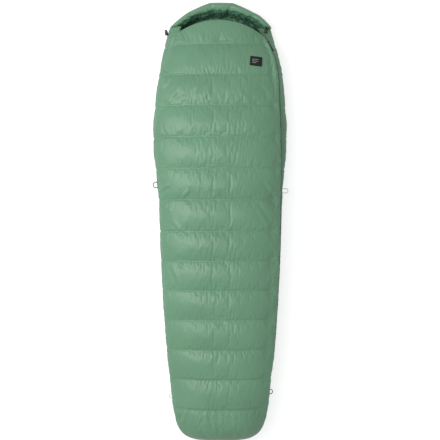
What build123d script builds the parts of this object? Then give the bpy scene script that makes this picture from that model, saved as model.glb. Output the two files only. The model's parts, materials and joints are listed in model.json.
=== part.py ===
"""Mummy sleeping bag with a two-way side zipper, modelled as its sewn pieces.

The bag lies on its back: +Y points to the hood, +X to the zipper side, +Z up, and the origin is at the
middle of its footprint on the floor. All sizes are millimetres.
"""
from build123d import *
import os
from math import acos, asin, atan2, cos, degrees, pi, radians, sin, sqrt

os.makedirs("parts", exist_ok=True)

# ---------------------------------------------------------------- driving dimensions: the bag's outline
HEAD_Y = 1041.0  # crest of the hood
TOE_Y = -1041.0  # end of the foot box
HOOD_Y = 918.0  # where the body's under panel ends and the hood begins
TOP_SEAM_Y = 824.0  # seam below the neck chamber
BODY_PITCH = 146.0  # seam spacing from neck to hip
LEG_PITCH = 138.0  # seam spacing from hip to foot
BODY_CHAMBERS = 6
LEG_CHAMBERS = 6
# place along the bag, half width, crown height, height of the widest line
BODY_SHAPE = [
    (945.0, 234.0, 156.0, 68.0),
    (TOP_SEAM_Y, 266.0, 182.0, 78.0),
    (659.0, 296.0, 222.0, 96.0),
    (398.0, 318.0, 245.0, 105.0),
    (94.0, 292.0, 241.0, 105.0),
    (-210.0, 281.0, 236.0, 104.0),
    (-514.0, 262.0, 229.0, 102.0),
    (-880.0, 226.0, 232.0, 102.0),
]
CROWN_POWER = 2.3  # superellipse power of the upper outline
SEAM_DIP = 12.0  # how far a seam is drawn in at the crown
SEAM_TUCK = 6.0  # and at the sides
FLOOR_DIP = 8.0  # and underneath
LOFT_TOP = 40.0  # thickness of the upper quilt at a seam
LOFT_FLOOR = 46.0  # thickness of the under panel at a seam
INNER_PUFF = 6.0  # how far a chamber swells inwards
SIDE_WALL = 42.0  # how far the lining stands in from the outline at the sides
FLAT_SHARE = 0.60  # part of the half width that lies flat on the floor
EDGE_SEAM_INSET = 9.0  # how far the side seam is drawn in
EDGE_OUT = 4.0  # a chamber's edge stands this far out of the zipper tape
EDGE_IN = 9.0  # and this far in
EDGE_WALL = 22.0  # how much thinner the side wall gets where the left seam climbs
ROLL_SHARE = 0.84  # where the rolled left edge begins, as a share of the seam's reach
CROWN_SHARE = (0.28, 0.72)  # where in its pitch a chamber is fullest
SOFT_GAP = 0.3  # room between soft pieces that move apart

# ---------------------------------------------------------------- neck edge, left side of the top quilt
NECK_EDGE_Y = 941.0  # middle of the quilt's top edge
NECK_EDGE_LEFT = (-198.0, 884.0)
NECK_EDGE_RIGHT = (204.0, 872.0)
LEFT_SEAM_NECK_INSET = 46.0  # the left seam climbs onto the chest by this much at the neck
LEFT_SEAM_START_Y = 700.0

# ---------------------------------------------------------------- zipper
ZIP_LOW = Vector(252.0, -640.0, 98.0)
ZIP_BEND = Vector(275.0, 659.0, 145.0)
ZIP_NECK = Vector(212.0, 866.0, 106.0)
ZIP_BOW = 20.0  # how far the long run bows outwards
ZIP_LEAN = 25.0  # how far the tape's outer face leans up, degrees
ZIP_END_Y = -742.0  # the edges close to a plain seam here
ZIP_ROLL = 18.0  # how far the top quilt's edge may roll out past the zipper
TAPE_HALF = 8.0  # from the middle to a chamber's edge
TAPE_THICK = 0.8
COIL_HALF_GAP = 0.5
COIL_WIDE = 3.0
COIL_HIGH = 2.4
SLIDER_LONG = 22.0
SLIDER_WIDE = 12.0
SLIDER_TAIL_WIDE = 10.2
PLATE_THICK = 1.2
RUN_GAP = 0.4  # slider to coil and tape
POST_THICK = 0.4
POST_LONG = 7.0
BRIDGE_WIDE = 2.4
BRIDGE_LONG = 13.0
BRIDGE_RISE = 3.8
BRIDGE_BAND = 1.3
PIN_R = 0.8
PULL_SIDE_GAP = 0.5
PULL_ARM = 1.3
PULL_LONG = 15.0
TAB_WIDE = 13.0
TAB_LONG = 62.0
TAB_THICK = 1.6
TAB_SHORT = 38.0
LOW_SLIDER_Y = -622.0
TOP_SLIDER_Y = 842.0
TOP_SLIDER_LOW_Y = 674.0  # the lowest place on the neck's arc that it reaches
STOP_LONG = 5.0
DRAFT_WIDE = 13.0
DRAFT_DEEP = 22.0  # between the centres of its two rounded ends
DRAFT_AT = (4.8, -33.0)  # its middle, across and out from the tape
DRAFT_TILT = -80.0
DRAFT_FLANGE = 1.6

# ---------------------------------------------------------------- fold-back corner of the top quilt
FOLD_NECK = (-90.0, 935.0)
FOLD_SEAM = 4  # the fold line meets the zipper at this seam, counted from the neck
FOLD_AXIS_Z = 227.0

# ---------------------------------------------------------------- hood
HOOD_RIM = [
    (-241.0, HOOD_Y, 128.0),
    (-160.0, 984.0, 140.0),
    (-52.0, 1031.5, 150.0),
    (66.0, 1030.5, 150.0),
    (190.0, 972.0, 138.0),
    (247.0, HOOD_Y, 126.0),
]
HOOD_WALL = 52.0
HOOD_PUFF = 7.0
HOOD_FLOOR = 44.0

# ---------------------------------------------------------------- trim
LABEL_WIDE = 57.0
LABEL_HIGH = 45.0
LABEL_AT = (168.0, 740.0)
LABEL_TURN = -4.0
LABEL_THICK = 0.9
LABEL_GAP = 0.3
# place along the bag, on the left side, reach, width, cord thickness
SIDE_LOOP_LEFT = (167.0, True, 22.0, 26.0, 4.0)
SIDE_LOOP_RIGHT = (139.0, False, 24.0, 20.0, 2.6)
FOOT_LOOP_LEFT = (-838.0, True, 16.0, 18.0, 2.6)
FOOT_LOOP_RIGHT = (-816.0, False, 20.0, 20.0, 3.4)
LOCK_R = 7.5
LOCK_LONG = 18.0
LOCK_FIT = 0.3
LOCK_HOLE_R = 1.6
LOCK_CORD_R = 1.2
BUTTON_R = 4.6
BUTTON_TRAVEL = 4.0
LOCK_TILT = 12.0
LOCK_LEFT = (-262.0, 889.0, 96.0)
LOCK_RIGHT = (266.0, 900.0, 96.0)

seams = [TOP_SEAM_Y - BODY_PITCH * i for i in range(BODY_CHAMBERS + 1)]
seams += [seams[-1] - LEG_PITCH * (i + 1) for i in range(LEG_CHAMBERS)]
LAST_SEAM = seams[-1]


# ================================================================ curves that the pieces share
def body_shape(y):
    """Half width, crown height and height of the widest line at y, on one smooth curve."""
    table = BODY_SHAPE[::-1]
    y = min(max(y, table[0][0]), table[-1][0])
    i = max(k for k in range(len(table) - 1) if table[k][0] <= y)
    lo, hi = table[i], table[i + 1]
    span = hi[0] - lo[0]
    u = (y - lo[0]) / span

    def slope(k, col):
        a = table[max(k - 1, 0)]
        b = table[min(k + 1, len(table) - 1)]
        return (b[col] - a[col]) / (b[0] - a[0])

    values = []
    for col in (1, 2, 3):
        h00 = 2 * u**3 - 3 * u**2 + 1
        h10 = u**3 - 2 * u**2 + u
        h01 = 3 * u**2 - 2 * u**3
        h11 = u**3 - u**2
        values.append(
            h00 * lo[col] + h10 * span * slope(i, col) + h01 * hi[col] + h11 * span * slope(i + 1, col)
        )
    return values


def ease(u):
    u = min(max(u, 0.0), 1.0)
    return u * u * (3 - 2 * u)


class TapeArc:
    """A circular stretch of the zipper, with the axis that a slider turns about."""

    def __init__(self, start, end, bow):
        self.start, self.end = start, end
        chord = end - start
        self.along = chord.normalized()
        self.out = (bow - self.along * bow.dot(self.along)).normalized()
        sag = bow.dot(self.out)
        self.radius = chord.length**2 / (8 * sag) + sag / 2
        self.centre = (start + end) * 0.5 - self.out * (self.radius - sag)
        self.axis = self.along.cross(self.out).normalized()
        self.half = asin(chord.length / 2 / self.radius)

    def angle_at(self, y):
        """Angle from the middle of the arc, positive towards its end."""
        reach = sqrt(self.along.Y**2 + self.out.Y**2)
        lead = atan2(self.out.Y, self.along.Y)
        return asin(max(-1.0, min(1.0, (y - self.centre.Y) / self.radius / reach))) - lead

    def point(self, a):
        return self.centre + (self.out * cos(a) + self.along * sin(a)) * self.radius

    def heading(self, a):
        return (self.along * cos(a) - self.out * sin(a)).normalized()


def tangent_arc(start, heading, end):
    """The arc that leaves start along heading and passes through end."""
    chord = end - start
    side = chord - heading * chord.dot(heading)
    turn = 2 * atan2(side.length, chord.dot(heading))
    sag = chord.length / 2 * (1 - cos(turn / 2)) / sin(turn / 2)
    inward = side.normalized()
    out = inward * -1 + chord.normalized() * inward.dot(chord.normalized())
    return TapeArc(start, end, out.normalized() * sag)


main_arc = TapeArc(ZIP_LOW, ZIP_BEND, Vector(ZIP_BOW, 0, 0))
neck_arc = tangent_arc(ZIP_BEND, main_arc.heading(main_arc.half), ZIP_NECK)
lean = radians(ZIP_LEAN)


def arc_frame(arc, y):
    """Point, heading, outward face and across direction (towards the top quilt) of the tape at y."""
    a = arc.angle_at(y)
    first = arc.heading(-arc.half)
    face = Vector(cos(lean), 0, sin(lean))
    if arc is neck_arc:
        first = main_arc.heading(main_arc.half)
    face = (face - first * face.dot(first)).normalized()
    face = face.rotate(Axis((0, 0, 0), tuple(arc.axis)), degrees(arc.half + a) * turn_sign(arc))
    head = arc.heading(a)
    across = head.cross(face) * -1
    return arc.point(a), head, face, across


def turn_sign(arc):
    """Whether a positive turn about the axis moves along the arc's heading."""
    return 1.0 if arc.axis.cross(arc.out).dot(arc.along) > 0 else -1.0


def tape_frame(y):
    return arc_frame(main_arc if y <= ZIP_BEND.Y else neck_arc, y)


def crown_point(half, crown, base, turn):
    """A point of the upper outline: turn is 0 at the right, 90 at the crown, 180 at the left."""
    c, s = cos(radians(turn)), sin(radians(turn))
    power = 2 / CROWN_POWER
    return (half * (abs(c) ** power) * (1 if c >= 0 else -1), base + (crown - base) * abs(s) ** power)


def bulge(p, q, ratio, centre):
    """The middle point of a rolled edge from p to q, pushed away from centre by a share of its chord."""
    dx, dz = q[0] - p[0], q[1] - p[1]
    mx, mz = (p[0] + q[0]) / 2, (p[1] + q[1]) / 2
    nx, nz = dz, -dx
    if nx * (mx - centre[0]) + nz * (mz - centre[1]) < 0:
        nx, nz = -nx, -nz
    return (mx + nx * ratio, mz + nz * ratio)


def section_wire(y, points):
    """A closed wire at y from a list of (x, z) points and arcs given as (middle, end) pairs."""
    def at(p):
        return Vector(p[0], y, p[1])

    here = points[0]
    edges = []
    for item in points[1:] + [points[0]]:
        if isinstance(item[0], tuple):
            edges.append(Edge.make_three_point_arc(at(here), at(item[0]), at(item[1])))
            here = item[1]
        else:
            edges.append(Edge.make_line(at(here), at(item)))
            here = item
    return Wire(edges)


def right_edge(y):
    """Middle of the right-hand closure at y, its half gap, and its across and outward directions."""
    half, crown, base = body_shape(y)
    zip_y = max(min(y, ZIP_NECK.Y), ZIP_LOW.Y - 10)
    mid, head, face, across = tape_frame(zip_y)
    mid = mid + head * ((y - mid.Y) / head.Y)
    if y > ZIP_LOW.Y - 10:
        blend = 1.0
    else:
        blend = 1 - ease((ZIP_LOW.Y - 10 - y) / (ZIP_LOW.Y - 10 - ZIP_END_Y))
    seam = (half - EDGE_SEAM_INSET, base)
    x = seam[0] + (mid.X - seam[0]) * blend
    z = seam[1] + (mid.Z - seam[1]) * blend
    tilt = lean * blend
    return (x, z), TAPE_HALF * blend, (-sin(tilt), cos(tilt)), (cos(tilt), sin(tilt))


def left_edge(y):
    """The left side seam, which climbs onto the chest near the neck."""
    half, crown, base = body_shape(y)
    climb = ease((y - LEFT_SEAM_START_Y) / (NECK_EDGE_LEFT[1] - LEFT_SEAM_START_Y))
    inset = EDGE_SEAM_INSET + (LEFT_SEAM_NECK_INSET - EDGE_SEAM_INSET) * climb
    over = (1 - ((half - inset) / half) ** CROWN_POWER) ** (1 / CROWN_POWER)
    return (-(half - inset), base + (crown - base) * over * climb * 0.85)


def step(p, direction, length):
    return (p[0] + direction[0] * length, p[1] + direction[1] * length)


def outline(y, fullness):
    """Half widths, heights and closures of the bag at y, for a fullness of 0 (seam) to 1."""
    half, crown, base = body_shape(y)
    mid, gap, across, out = right_edge(y)
    half_now = half - SEAM_TUCK * (1 - fullness)
    right = min(half_now, mid[0] + ZIP_ROLL) if y > 0 else half_now
    return {
        "half": half_now,
        "right": right,
        "crown": crown - SEAM_DIP * (1 - fullness),
        "base": base,
        "floor": FLOOR_DIP * (1 - fullness),
        "mid": mid,
        "gap": gap,
        "across": across,
        "out": out,
        "left": left_edge(y),
    }


def top_section(y, fullness, proud=0.0):
    """Section of the upper quilt: rolled right edge, crown, rolled left edge, lining."""
    o = outline(y, fullness)
    centre = (0, o["base"])
    first = step(step(o["mid"], o["across"], o["gap"]), o["out"], EDGE_OUT + proud)
    inner_first = step(step(o["mid"], o["across"], o["gap"]), o["out"], -EDGE_IN)
    last = (o["left"][0], o["left"][1] + SOFT_GAP / 2)
    inner_last = (last[0] + EDGE_IN + EDGE_OUT, last[1])
    reach_left = -o["left"][0]
    far_turn = 180 - degrees(acos((ROLL_SHARE * reach_left / o["half"]) ** (CROWN_POWER / 2)))

    def outer(turn):
        half = o["right"] if turn < 90 else o["half"]
        return crown_point(half + proud, o["crown"] + proud, o["base"], turn)

    def lining(turn):
        half = (o["right"] if turn < 90 else min(o["half"], reach_left + EDGE_WALL)) - SIDE_WALL
        crown = o["crown"] - LOFT_TOP - (SEAM_DIP + INNER_PUFF) * fullness
        return crown_point(half, crown, o["base"], turn)

    shoulder, far = outer(34), outer(far_turn)
    left_mid = bulge(far, last, 0.24, centre)
    near_x, near_z = lining(24)
    near_edge = (near_x, max(near_z, inner_first[1] - EDGE_OUT))
    points = [
        first,
        (bulge(first, shoulder, 0.26, centre), shoulder),
        (outer(62), outer(90)),
        (outer((90 + far_turn) / 2), far),
        (left_mid, last),
        inner_last,
        (lining(156), lining(134)),
        (lining(112), lining(90)),
        (lining(68), lining(46)),
        (near_edge, inner_first),
    ]
    return section_wire(y, points)


def under_section(y, fullness):
    """Section of the under panel: up the right side to the zipper, flat on the floor, up the left."""
    o = outline(y, fullness)
    centre = (0, o["base"])
    first = step(step(o["mid"], o["across"], -o["gap"]), o["out"], EDGE_OUT - 1)
    inner_first = step(step(o["mid"], o["across"], -o["gap"]), o["out"], -EDGE_IN)
    last = (o["left"][0], o["left"][1] - SOFT_GAP / 2)
    inner_last = (last[0] + EDGE_IN + EDGE_OUT, last[1])
    wide = o["half"]
    wide_z = min(o["base"] - 12, first[1] - 22)
    flat = FLAT_SHARE * body_shape(y)[0]
    deep = FLOOR_DIP + LOFT_FLOOR + INNER_PUFF * fullness
    flat_in = flat - 8

    def corner(start, end):
        """Middle of the arc that leaves the flat level at start and rises to end."""
        run, rise = end[0] - start[0], end[1] - start[1]
        radius = (run * run + rise * rise) / (2 * rise)
        half_turn = atan2(abs(run), radius - rise) / 2
        side = radius * sin(half_turn) * (1 if run > 0 else -1)
        return (start[0] + side, start[1] + radius * (1 - cos(half_turn)))

    right_wide, left_wide = (wide, wide_z), (-wide, wide_z)
    flat_right, flat_left = (flat, o["floor"]), (-flat, o["floor"])
    bed_right, bed_left = (flat_in, deep), (-flat_in, deep)
    points = [
        first,
        (bulge(first, right_wide, 0.2, centre), right_wide),
        (corner(flat_right, right_wide), flat_right),
        flat_left,
        (corner(flat_left, left_wide), left_wide),
        (bulge(left_wide, last, 0.2, centre), last),
        inner_last,
        (corner(bed_left, inner_last), bed_left),
        bed_right,
        (corner(bed_right, inner_first), inner_first),
    ]
    return section_wire(y, points)


def chamber_stations(y_head, y_foot):
    """Places and fullness of a chamber's sections: seam, two full sections, seam."""
    shares = list(CROWN_SHARE)
    if y_head > ZIP_BEND.Y:
        shares.insert(1, sum(CROWN_SHARE) / 2)  # the edge follows the tight bend of the zipper
    full = [(y_head - (y_head - y_foot) * share, 1.0) for share in shares]
    return [(y_head, 0.0)] + full + [(y_foot, 0.0)]


def chamber(section, y_head, y_foot, **more):
    wires = [section(y, fullness, **more) for y, fullness in chamber_stations(y_head, y_foot)]
    return Solid.make_loft(wires, ruled=True)


# ================================================================ fold-back corner
fold_seam_y = seams[FOLD_SEAM]
fold_foot = right_edge(fold_seam_y)[0][0]
fold_along = Vector(fold_foot - FOLD_NECK[0], fold_seam_y - FOLD_NECK[1], 0).normalized()
fold_side = Vector(-fold_along.Y, fold_along.X, 0)  # points to the corner that folds back
fold_half = BODY_PITCH * fold_side.Y  # the soft band reaches one seam either way along the zipper
REACH = 1500.0  # larger than the bag, for cutting solids


def fold_slab(near, far):
    """Everything whose distance from the fold line, positive on the corner's side, is near to far."""
    frame = Plane(origin=(FOLD_NECK[0], FOLD_NECK[1], 0), x_dir=tuple(fold_side), z_dir=(0, 0, 1))
    box = Box(far - near, 2 * REACH, 2 * REACH, align=(Align.MIN, Align.CENTER, Align.CENTER))
    return frame.location * Pos(near, 0, 0) * box


root_side = fold_slab(-REACH, -fold_half)
band_side = fold_slab(-fold_half, fold_half)
flap_side = fold_slab(fold_half + SOFT_GAP, REACH)


def solids_of(shape, least=200.0):
    """The solids of a cut shape, largest first, without crumbs."""
    if shape is None:
        return []
    found = [s for s in shape.solids() if s.volume > least]
    return sorted(found, key=lambda s: -s.volume)


def save(name, shapes):
    solids = [s for shape in (shapes if isinstance(shapes, list) else [shapes]) for s in shape.solids()]
    export_step(solids[0] if len(solids) == 1 else Compound(children=solids), f"parts/{name}.step")


# ================================================================ top quilt, neck to foot
def beyond_neck_edge():
    """All that lies past the curved top edge of the quilt."""
    left, right = Vector(*NECK_EDGE_LEFT, 0), Vector(*NECK_EDGE_RIGHT, 0)
    far_left, far_right = Vector(-REACH, left.Y, 0), Vector(REACH, right.Y, 0)
    top_left, top_right = Vector(-REACH, REACH, 0), Vector(REACH, REACH, 0)
    rim = Wire([
        Edge.make_line(far_left, left),
        Edge.make_three_point_arc(left, Vector(3, NECK_EDGE_Y, 0), right),
        Edge.make_line(right, far_right),
        Edge.make_line(far_right, top_right),
        Edge.make_line(top_right, top_left),
        Edge.make_line(top_left, far_left),
    ])
    return extrude(Face(rim), amount=REACH)


# the upper and under neck pieces share these sections, so their seam lines agree
NECK_STATIONS = [(HOOD_Y, 0.4), (HOOD_Y - 30, 0.9), (TOP_SEAM_Y + 30, 1.0), (TOP_SEAM_Y, 0.0)]


def neck_chamber():
    stations = [(BODY_SHAPE[0][0], 0.2)] + NECK_STATIONS
    body = Solid.make_loft([top_section(y, fullness) for y, fullness in stations], ruled=True)
    return body - beyond_neck_edge()


def toe_wire(y, half, crown, floor, upper):
    """Half of a closed foot-box section, above or below the side seam."""
    base = body_shape(LAST_SEAM)[2]
    if upper:
        z0 = base + SOFT_GAP / 2
        points = [
            (half, z0),
            (crown_point(half, crown, z0, 20), crown_point(half, crown, z0, 45)),
            (crown_point(half, crown, z0, 67), crown_point(half, crown, z0, 90)),
            (crown_point(half, crown, z0, 113), crown_point(half, crown, z0, 135)),
            (crown_point(half, crown, z0, 160), (-half, z0)),
        ]
    else:
        z0 = base - SOFT_GAP / 2
        flat = FLAT_SHARE * half
        rise, run = z0 - floor, half - flat
        elbow_x, elbow_z = flat + run * 0.69, floor + rise * 0.29
        points = [
            (-half, z0),
            ((-elbow_x, elbow_z), (-flat, floor)),
            (flat, floor),
            ((elbow_x, elbow_z), (half, z0)),
        ]
    return section_wire(y, points)


# place past the last seam, share of the half width, share of the crown's rise, lift of the underside
TOE_SHAPE = [
    (0.0, 0.973, 0.95, FLOOR_DIP),
    (38.0, 0.975, 1.0, 0.0),
    (92.0, 0.885, 0.95, 0.0),
    (128.0, 0.775, 0.78, 0.0),
    (150.0, 0.600, 0.52, 14.0),
    (LAST_SEAM - TOE_Y, 0.300, 0.20, 46.0),
]

def toe_half(upper):
    half, crown, base = body_shape(LAST_SEAM)
    wires = [
        toe_wire(LAST_SEAM - past, half * wide, base + (crown - base) * rise, lift, upper)
        for past, wide, rise, lift in TOE_SHAPE
    ]
    outer = Solid.make_loft(wires, ruled=True)
    hollow = []
    for past, wide, rise, lift in TOE_SHAPE[:4]:
        inner_half = half * wide - SIDE_WALL
        inner_crown = base + (crown - base) * rise - LOFT_TOP
        shrink = 1.0 - 0.1 * past / 100
        z0 = base + (1 if upper else -1) * SOFT_GAP / 2
        top = z0 + (inner_crown - z0) * shrink
        bed = lift + LOFT_FLOOR + FLOOR_DIP
        place = LAST_SEAM + 5 if past == 0 else LAST_SEAM - past * 0.85
        if upper:
            points = [
                (inner_half, z0 - 5),
                (inner_half, z0),
                ((inner_half * 0.78, z0 + (top - z0) * 0.72), (0, top)),
                ((-inner_half * 0.78, z0 + (top - z0) * 0.72), (-inner_half, z0)),
                (-inner_half, z0 - 5),
            ]
        else:
            points = [
                (-inner_half, z0 + 5),
                (-inner_half, z0),
                (-inner_half * 0.8, bed),
                (inner_half * 0.8, bed),
                (inner_half, z0),
                (inner_half, z0 + 5),
            ]
        hollow.append(section_wire(place, points))
    return outer - Solid.make_loft(hollow, ruled=True)


top_chambers = [neck_chamber()]
top_chambers += [chamber(top_section, a, b) for a, b in zip(seams[:-1], seams[1:])]
top_chambers.append(toe_half(True))

band_solids = []
for number, solid in enumerate(top_chambers, 1):
    if number <= FOLD_SEAM + 2:
        band_solids += solids_of(solid & band_side)
        corner_solids = solids_of(solid & flap_side)
        if corner_solids:
            save(f"flap_chamber_{number:02d}", corner_solids[0])
        solid = solids_of(solid & root_side)[0]
    save(f"top_chamber_{number:02d}", solid)
save("fold_band", band_solids)

# ================================================================ under panel, in its sewn groups
neck_under = Solid.make_loft([under_section(y, fullness) for y, fullness in NECK_STATIONS], ruled=True)
under_chambers = [neck_under]
under_chambers += [chamber(under_section, a, b) for a, b in zip(seams[:-1], seams[1:])]
under_chambers.append(toe_half(False))
UNDER_GROUPS = [
    ("under_chamber_neck", 0, 1),
    ("under_chambers_shoulder", 1, 4),
    ("under_chambers_hip", 4, 7),
    ("under_chambers_thigh", 7, 10),
    ("under_chambers_shin", 10, 13),
    ("under_chamber_foot", 13, 14),
]
for name, first_one, past_last in UNDER_GROUPS:
    save(name, under_chambers[first_one:past_last])

# ================================================================ hood
def rim_frame(i):
    """Outward direction of the hood's rim at seam i: the two ends lie square to the body."""
    x, y, height = HOOD_RIM[i]
    if i in (0, len(HOOD_RIM) - 1):
        return Vector(-1 if x < 0 else 1, 0, 0)
    return Vector(x, y - HOOD_Y, 0).normalized()


def hood_wire(place, out, height, fullness):
    """Section of the hood's padded wall in the upright plane through out."""
    puff = HOOD_PUFF * fullness

    def at(rho, z):
        return place + out * rho + Vector(0, 0, z)

    foot = at(-34, 0)
    wide = at(puff, height * 0.40)
    top = at(-24 + puff * 0.4, height + puff * 0.5)
    inside = at(-HOOD_WALL - puff * 0.3, height * 0.52)
    return Wire([
        Edge.make_three_point_arc(foot, at(-9 + puff * 0.8, height * 0.13), wide),
        Edge.make_three_point_arc(wide, at(-4 + puff, height * 0.80), top),
        Edge.make_three_point_arc(top, at(-HOOD_WALL + 4 - puff * 0.3, height * 0.88), inside),
        Edge.make_line(inside, at(-HOOD_WALL, HOOD_FLOOR)),
        Edge.make_line(at(-HOOD_WALL, HOOD_FLOOR), at(-HOOD_WALL, 0)),
        Edge.make_line(at(-HOOD_WALL, 0), foot),
    ])


def hood_baffle(i):
    start, end = HOOD_RIM[i], HOOD_RIM[i + 1]
    out_start, out_end = rim_frame(i), rim_frame(i + 1)
    wires = []
    for share, fullness in ((0.0, 0.0), (CROWN_SHARE[0], 1.0), (CROWN_SHARE[1], 1.0), (1.0, 0.0)):
        x, y, height = (a + (b - a) * share for a, b in zip(start, end))
        out = (out_start * (1 - share) + out_end * share).normalized()
        wires.append(hood_wire(Vector(x, y, 0), out, height, fullness))
    return Solid.make_loft(wires, ruled=True)


def hood_floor():
    """The pad under the head, crowned, filling the hood inside its wall."""
    corners = []
    for i in range(len(HOOD_RIM) - 1):
        start, end = HOOD_RIM[i], HOOD_RIM[i + 1]
        for share in (0.0, CROWN_SHARE[0], CROWN_SHARE[1]):
            x, y, height = (a + (b - a) * share for a, b in zip(start, end))
            out = (rim_frame(i) * (1 - share) + rim_frame(i + 1) * share).normalized()
            corners.append(Vector(x, y, 0) - out * (HOOD_WALL + SOFT_GAP))
    x, y, height = HOOD_RIM[-1]
    corners.append(Vector(x, y, 0) - rim_frame(len(HOOD_RIM) - 1) * (HOOD_WALL + SOFT_GAP))
    middle = Vector(0, HOOD_Y + 45, 0)

    def layer(z, share):
        ring = [middle + (c - middle) * share + Vector(0, 0, z) for c in corners]
        return Wire([Edge.make_line(a, b) for a, b in zip(ring, ring[1:] + ring[:1])])

    layers = [layer(0, 0.97), layer(HOOD_FLOOR * 0.5, 1.0), layer(HOOD_FLOOR * 0.9, 0.93), layer(HOOD_FLOOR, 0.8)]
    keep = Pos(0, HOOD_Y + REACH / 2, 0) * Box(REACH, REACH, REACH)
    return Solid.make_loft(layers, ruled=True) & keep


for i in range(len(HOOD_RIM) - 1):
    save(f"hood_baffle_{i + 1}", hood_baffle(i))
save("hood_floor", hood_floor())


# ================================================================ zipper
def tape_plane(y):
    mid, head, face, across = tape_frame(y)
    return Plane(origin=mid, x_dir=tuple(across), z_dir=tuple(head))


def along_zipper(profile, y_low, y_high):
    """A profile drawn in (across, out) swept along the zipper's arcs from y_low to y_high."""
    runs = []
    for arc in (main_arc, neck_arc):
        a, b = max(arc.start.Y, y_low), min(arc.end.Y, y_high)
        if b - a > 0.5:
            mid, head, face, across = arc_frame(arc, a)
            sketch = Plane(origin=mid, x_dir=tuple(across), z_dir=tuple(head)) * profile
            turn = degrees(arc.angle_at(b) - arc.angle_at(a)) * turn_sign(arc)
            runs.append(revolve(sketch, axis=Axis(tuple(arc.centre), tuple(arc.axis)), revolution_arc=turn))
    whole = runs[0]
    for run in runs[1:]:
        whole = whole + run
    return whole.solids()


def bar(x0, x1, z0, z1):
    return Pos((x0 + x1) / 2, (z0 + z1) / 2) * Rectangle(abs(x1 - x0), z1 - z0)


coil_outer = COIL_HALF_GAP + COIL_WIDE
tape_edge = TAPE_HALF - SOFT_GAP
coil_profile = fillet(
    bar(COIL_HALF_GAP, coil_outer, -COIL_HIGH / 2, COIL_HIGH / 2).vertices(), COIL_HIGH * 0.3
)
tape_profile = bar(coil_outer, tape_edge, -TAPE_THICK / 2, TAPE_THICK / 2)
flap_zip_y = seams[FOLD_SEAM - 1] + SOFT_GAP * 4
root_zip_y = seams[FOLD_SEAM + 1]
coil_top_y = TOP_SLIDER_Y - SLIDER_LONG / 2 - 1


def other_side(profile):
    return mirror(profile, about=Plane.YZ)


save("zipper_coil_under", along_zipper(other_side(coil_profile), ZIP_LOW.Y, ZIP_NECK.Y))
save("zipper_coil_top", along_zipper(coil_profile, ZIP_LOW.Y, root_zip_y))
save("zipper_coil_flap", along_zipper(coil_profile, flap_zip_y, coil_top_y))
save("zipper_tape_under", along_zipper(other_side(tape_profile), ZIP_LOW.Y, ZIP_NECK.Y))
save("zipper_tape_top", along_zipper(tape_profile, ZIP_LOW.Y, root_zip_y))
save("zipper_tape_flap", along_zipper(tape_profile, flap_zip_y, coil_top_y))
save(
    "fold_zipper",
    along_zipper(coil_profile, root_zip_y, flap_zip_y - SOFT_GAP)
    + along_zipper(tape_profile, root_zip_y, flap_zip_y - SOFT_GAP),
)

stop_block = bar(-coil_outer, coil_outer, -COIL_HIGH / 2 - 0.4, COIL_HIGH / 2 + 0.4)
low_frame = tape_plane(ZIP_LOW.Y)
low_stop = low_frame * Pos(0, 0, -STOP_LONG) * extrude(stop_block, STOP_LONG)
high_stop = tape_plane(ZIP_NECK.Y) * extrude(
    bar(-coil_outer, -COIL_HALF_GAP, -COIL_HIGH / 2 - 0.4, COIL_HIGH / 2 + 0.4), STOP_LONG
)
save("zipper_stops", [low_stop, high_stop])


def slider_body():
    """Slider in its own frame: X across, Y towards its wide nose, Z out of the tape."""
    plan = Polygon(
        (-SLIDER_TAIL_WIDE / 2, -SLIDER_LONG / 2),
        (SLIDER_TAIL_WIDE / 2, -SLIDER_LONG / 2),
        (SLIDER_WIDE / 2, SLIDER_LONG * 0.12),
        (SLIDER_WIDE / 2 - 1.5, SLIDER_LONG / 2),
        (-SLIDER_WIDE / 2 + 1.5, SLIDER_LONG / 2),
        (-SLIDER_WIDE / 2, SLIDER_LONG * 0.12),
        align=None,
    )
    plan = fillet(plan.vertices(), 1.2)
    inside = COIL_HIGH / 2 + RUN_GAP
    outside = inside + PLATE_THICK
    block = Pos(0, 0, -outside) * extrude(plan, 2 * outside)
    channel = Box(2 * (coil_outer + RUN_GAP), 2 * SLIDER_LONG, 2 * inside)
    slots = Box(2 * SLIDER_WIDE, 2 * SLIDER_LONG, TAPE_THICK + 2 * RUN_GAP)
    post = Pos(0, SLIDER_LONG / 2 - POST_LONG / 2 - 1, 0) * Box(POST_THICK, POST_LONG, 2 * inside)
    bridge = Pos(0, 0, outside + BRIDGE_RISE / 2) * Box(BRIDGE_WIDE, BRIDGE_LONG, BRIDGE_RISE)
    ends = bridge.edges().filter_by(Axis.X).group_by(Axis.Z)[-1]
    bridge = fillet(ends, BRIDGE_RISE * 0.6)
    eye = Pos(0, 0, pin_height()) * Box(2 * BRIDGE_WIDE, 4 * PIN_R, 2 * PIN_R + 2 * SOFT_GAP)
    return block - channel - slots + post + (bridge - eye)


def pin_height():
    """Height of the pull's pin over the tape: it clears the plate by the running gap."""
    return COIL_HIGH / 2 + RUN_GAP + PLATE_THICK + RUN_GAP + PIN_R


def pull_ring():
    """Wire ring of the pull: a pin through the bridge, two arms and a far bar."""
    arm_x = BRIDGE_WIDE / 2 + PULL_SIDE_GAP + PULL_ARM / 2
    pin = Pos(0, 0, pin_height()) * (Rot(0, 90, 0) * Cylinder(PIN_R, 2 * arm_x + PULL_ARM))
    far = Pos(0, PULL_LONG, 0) * pin
    ring = pin + far
    for side in (-1, 1):
        arm = Pos(side * arm_x, PULL_LONG / 2, pin_height()) * Box(PULL_ARM, PULL_LONG, 2 * PIN_R)
        ring = ring + arm
    return ring


def pull_tab(length):
    tab = Box(TAB_WIDE, length, TAB_THICK, align=(Align.CENTER, Align.MIN, Align.CENTER))
    tab = fillet(tab.edges().filter_by(Axis.Z), 2.5)
    return Pos(0, PULL_LONG + PIN_R, pin_height()) * tab


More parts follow.
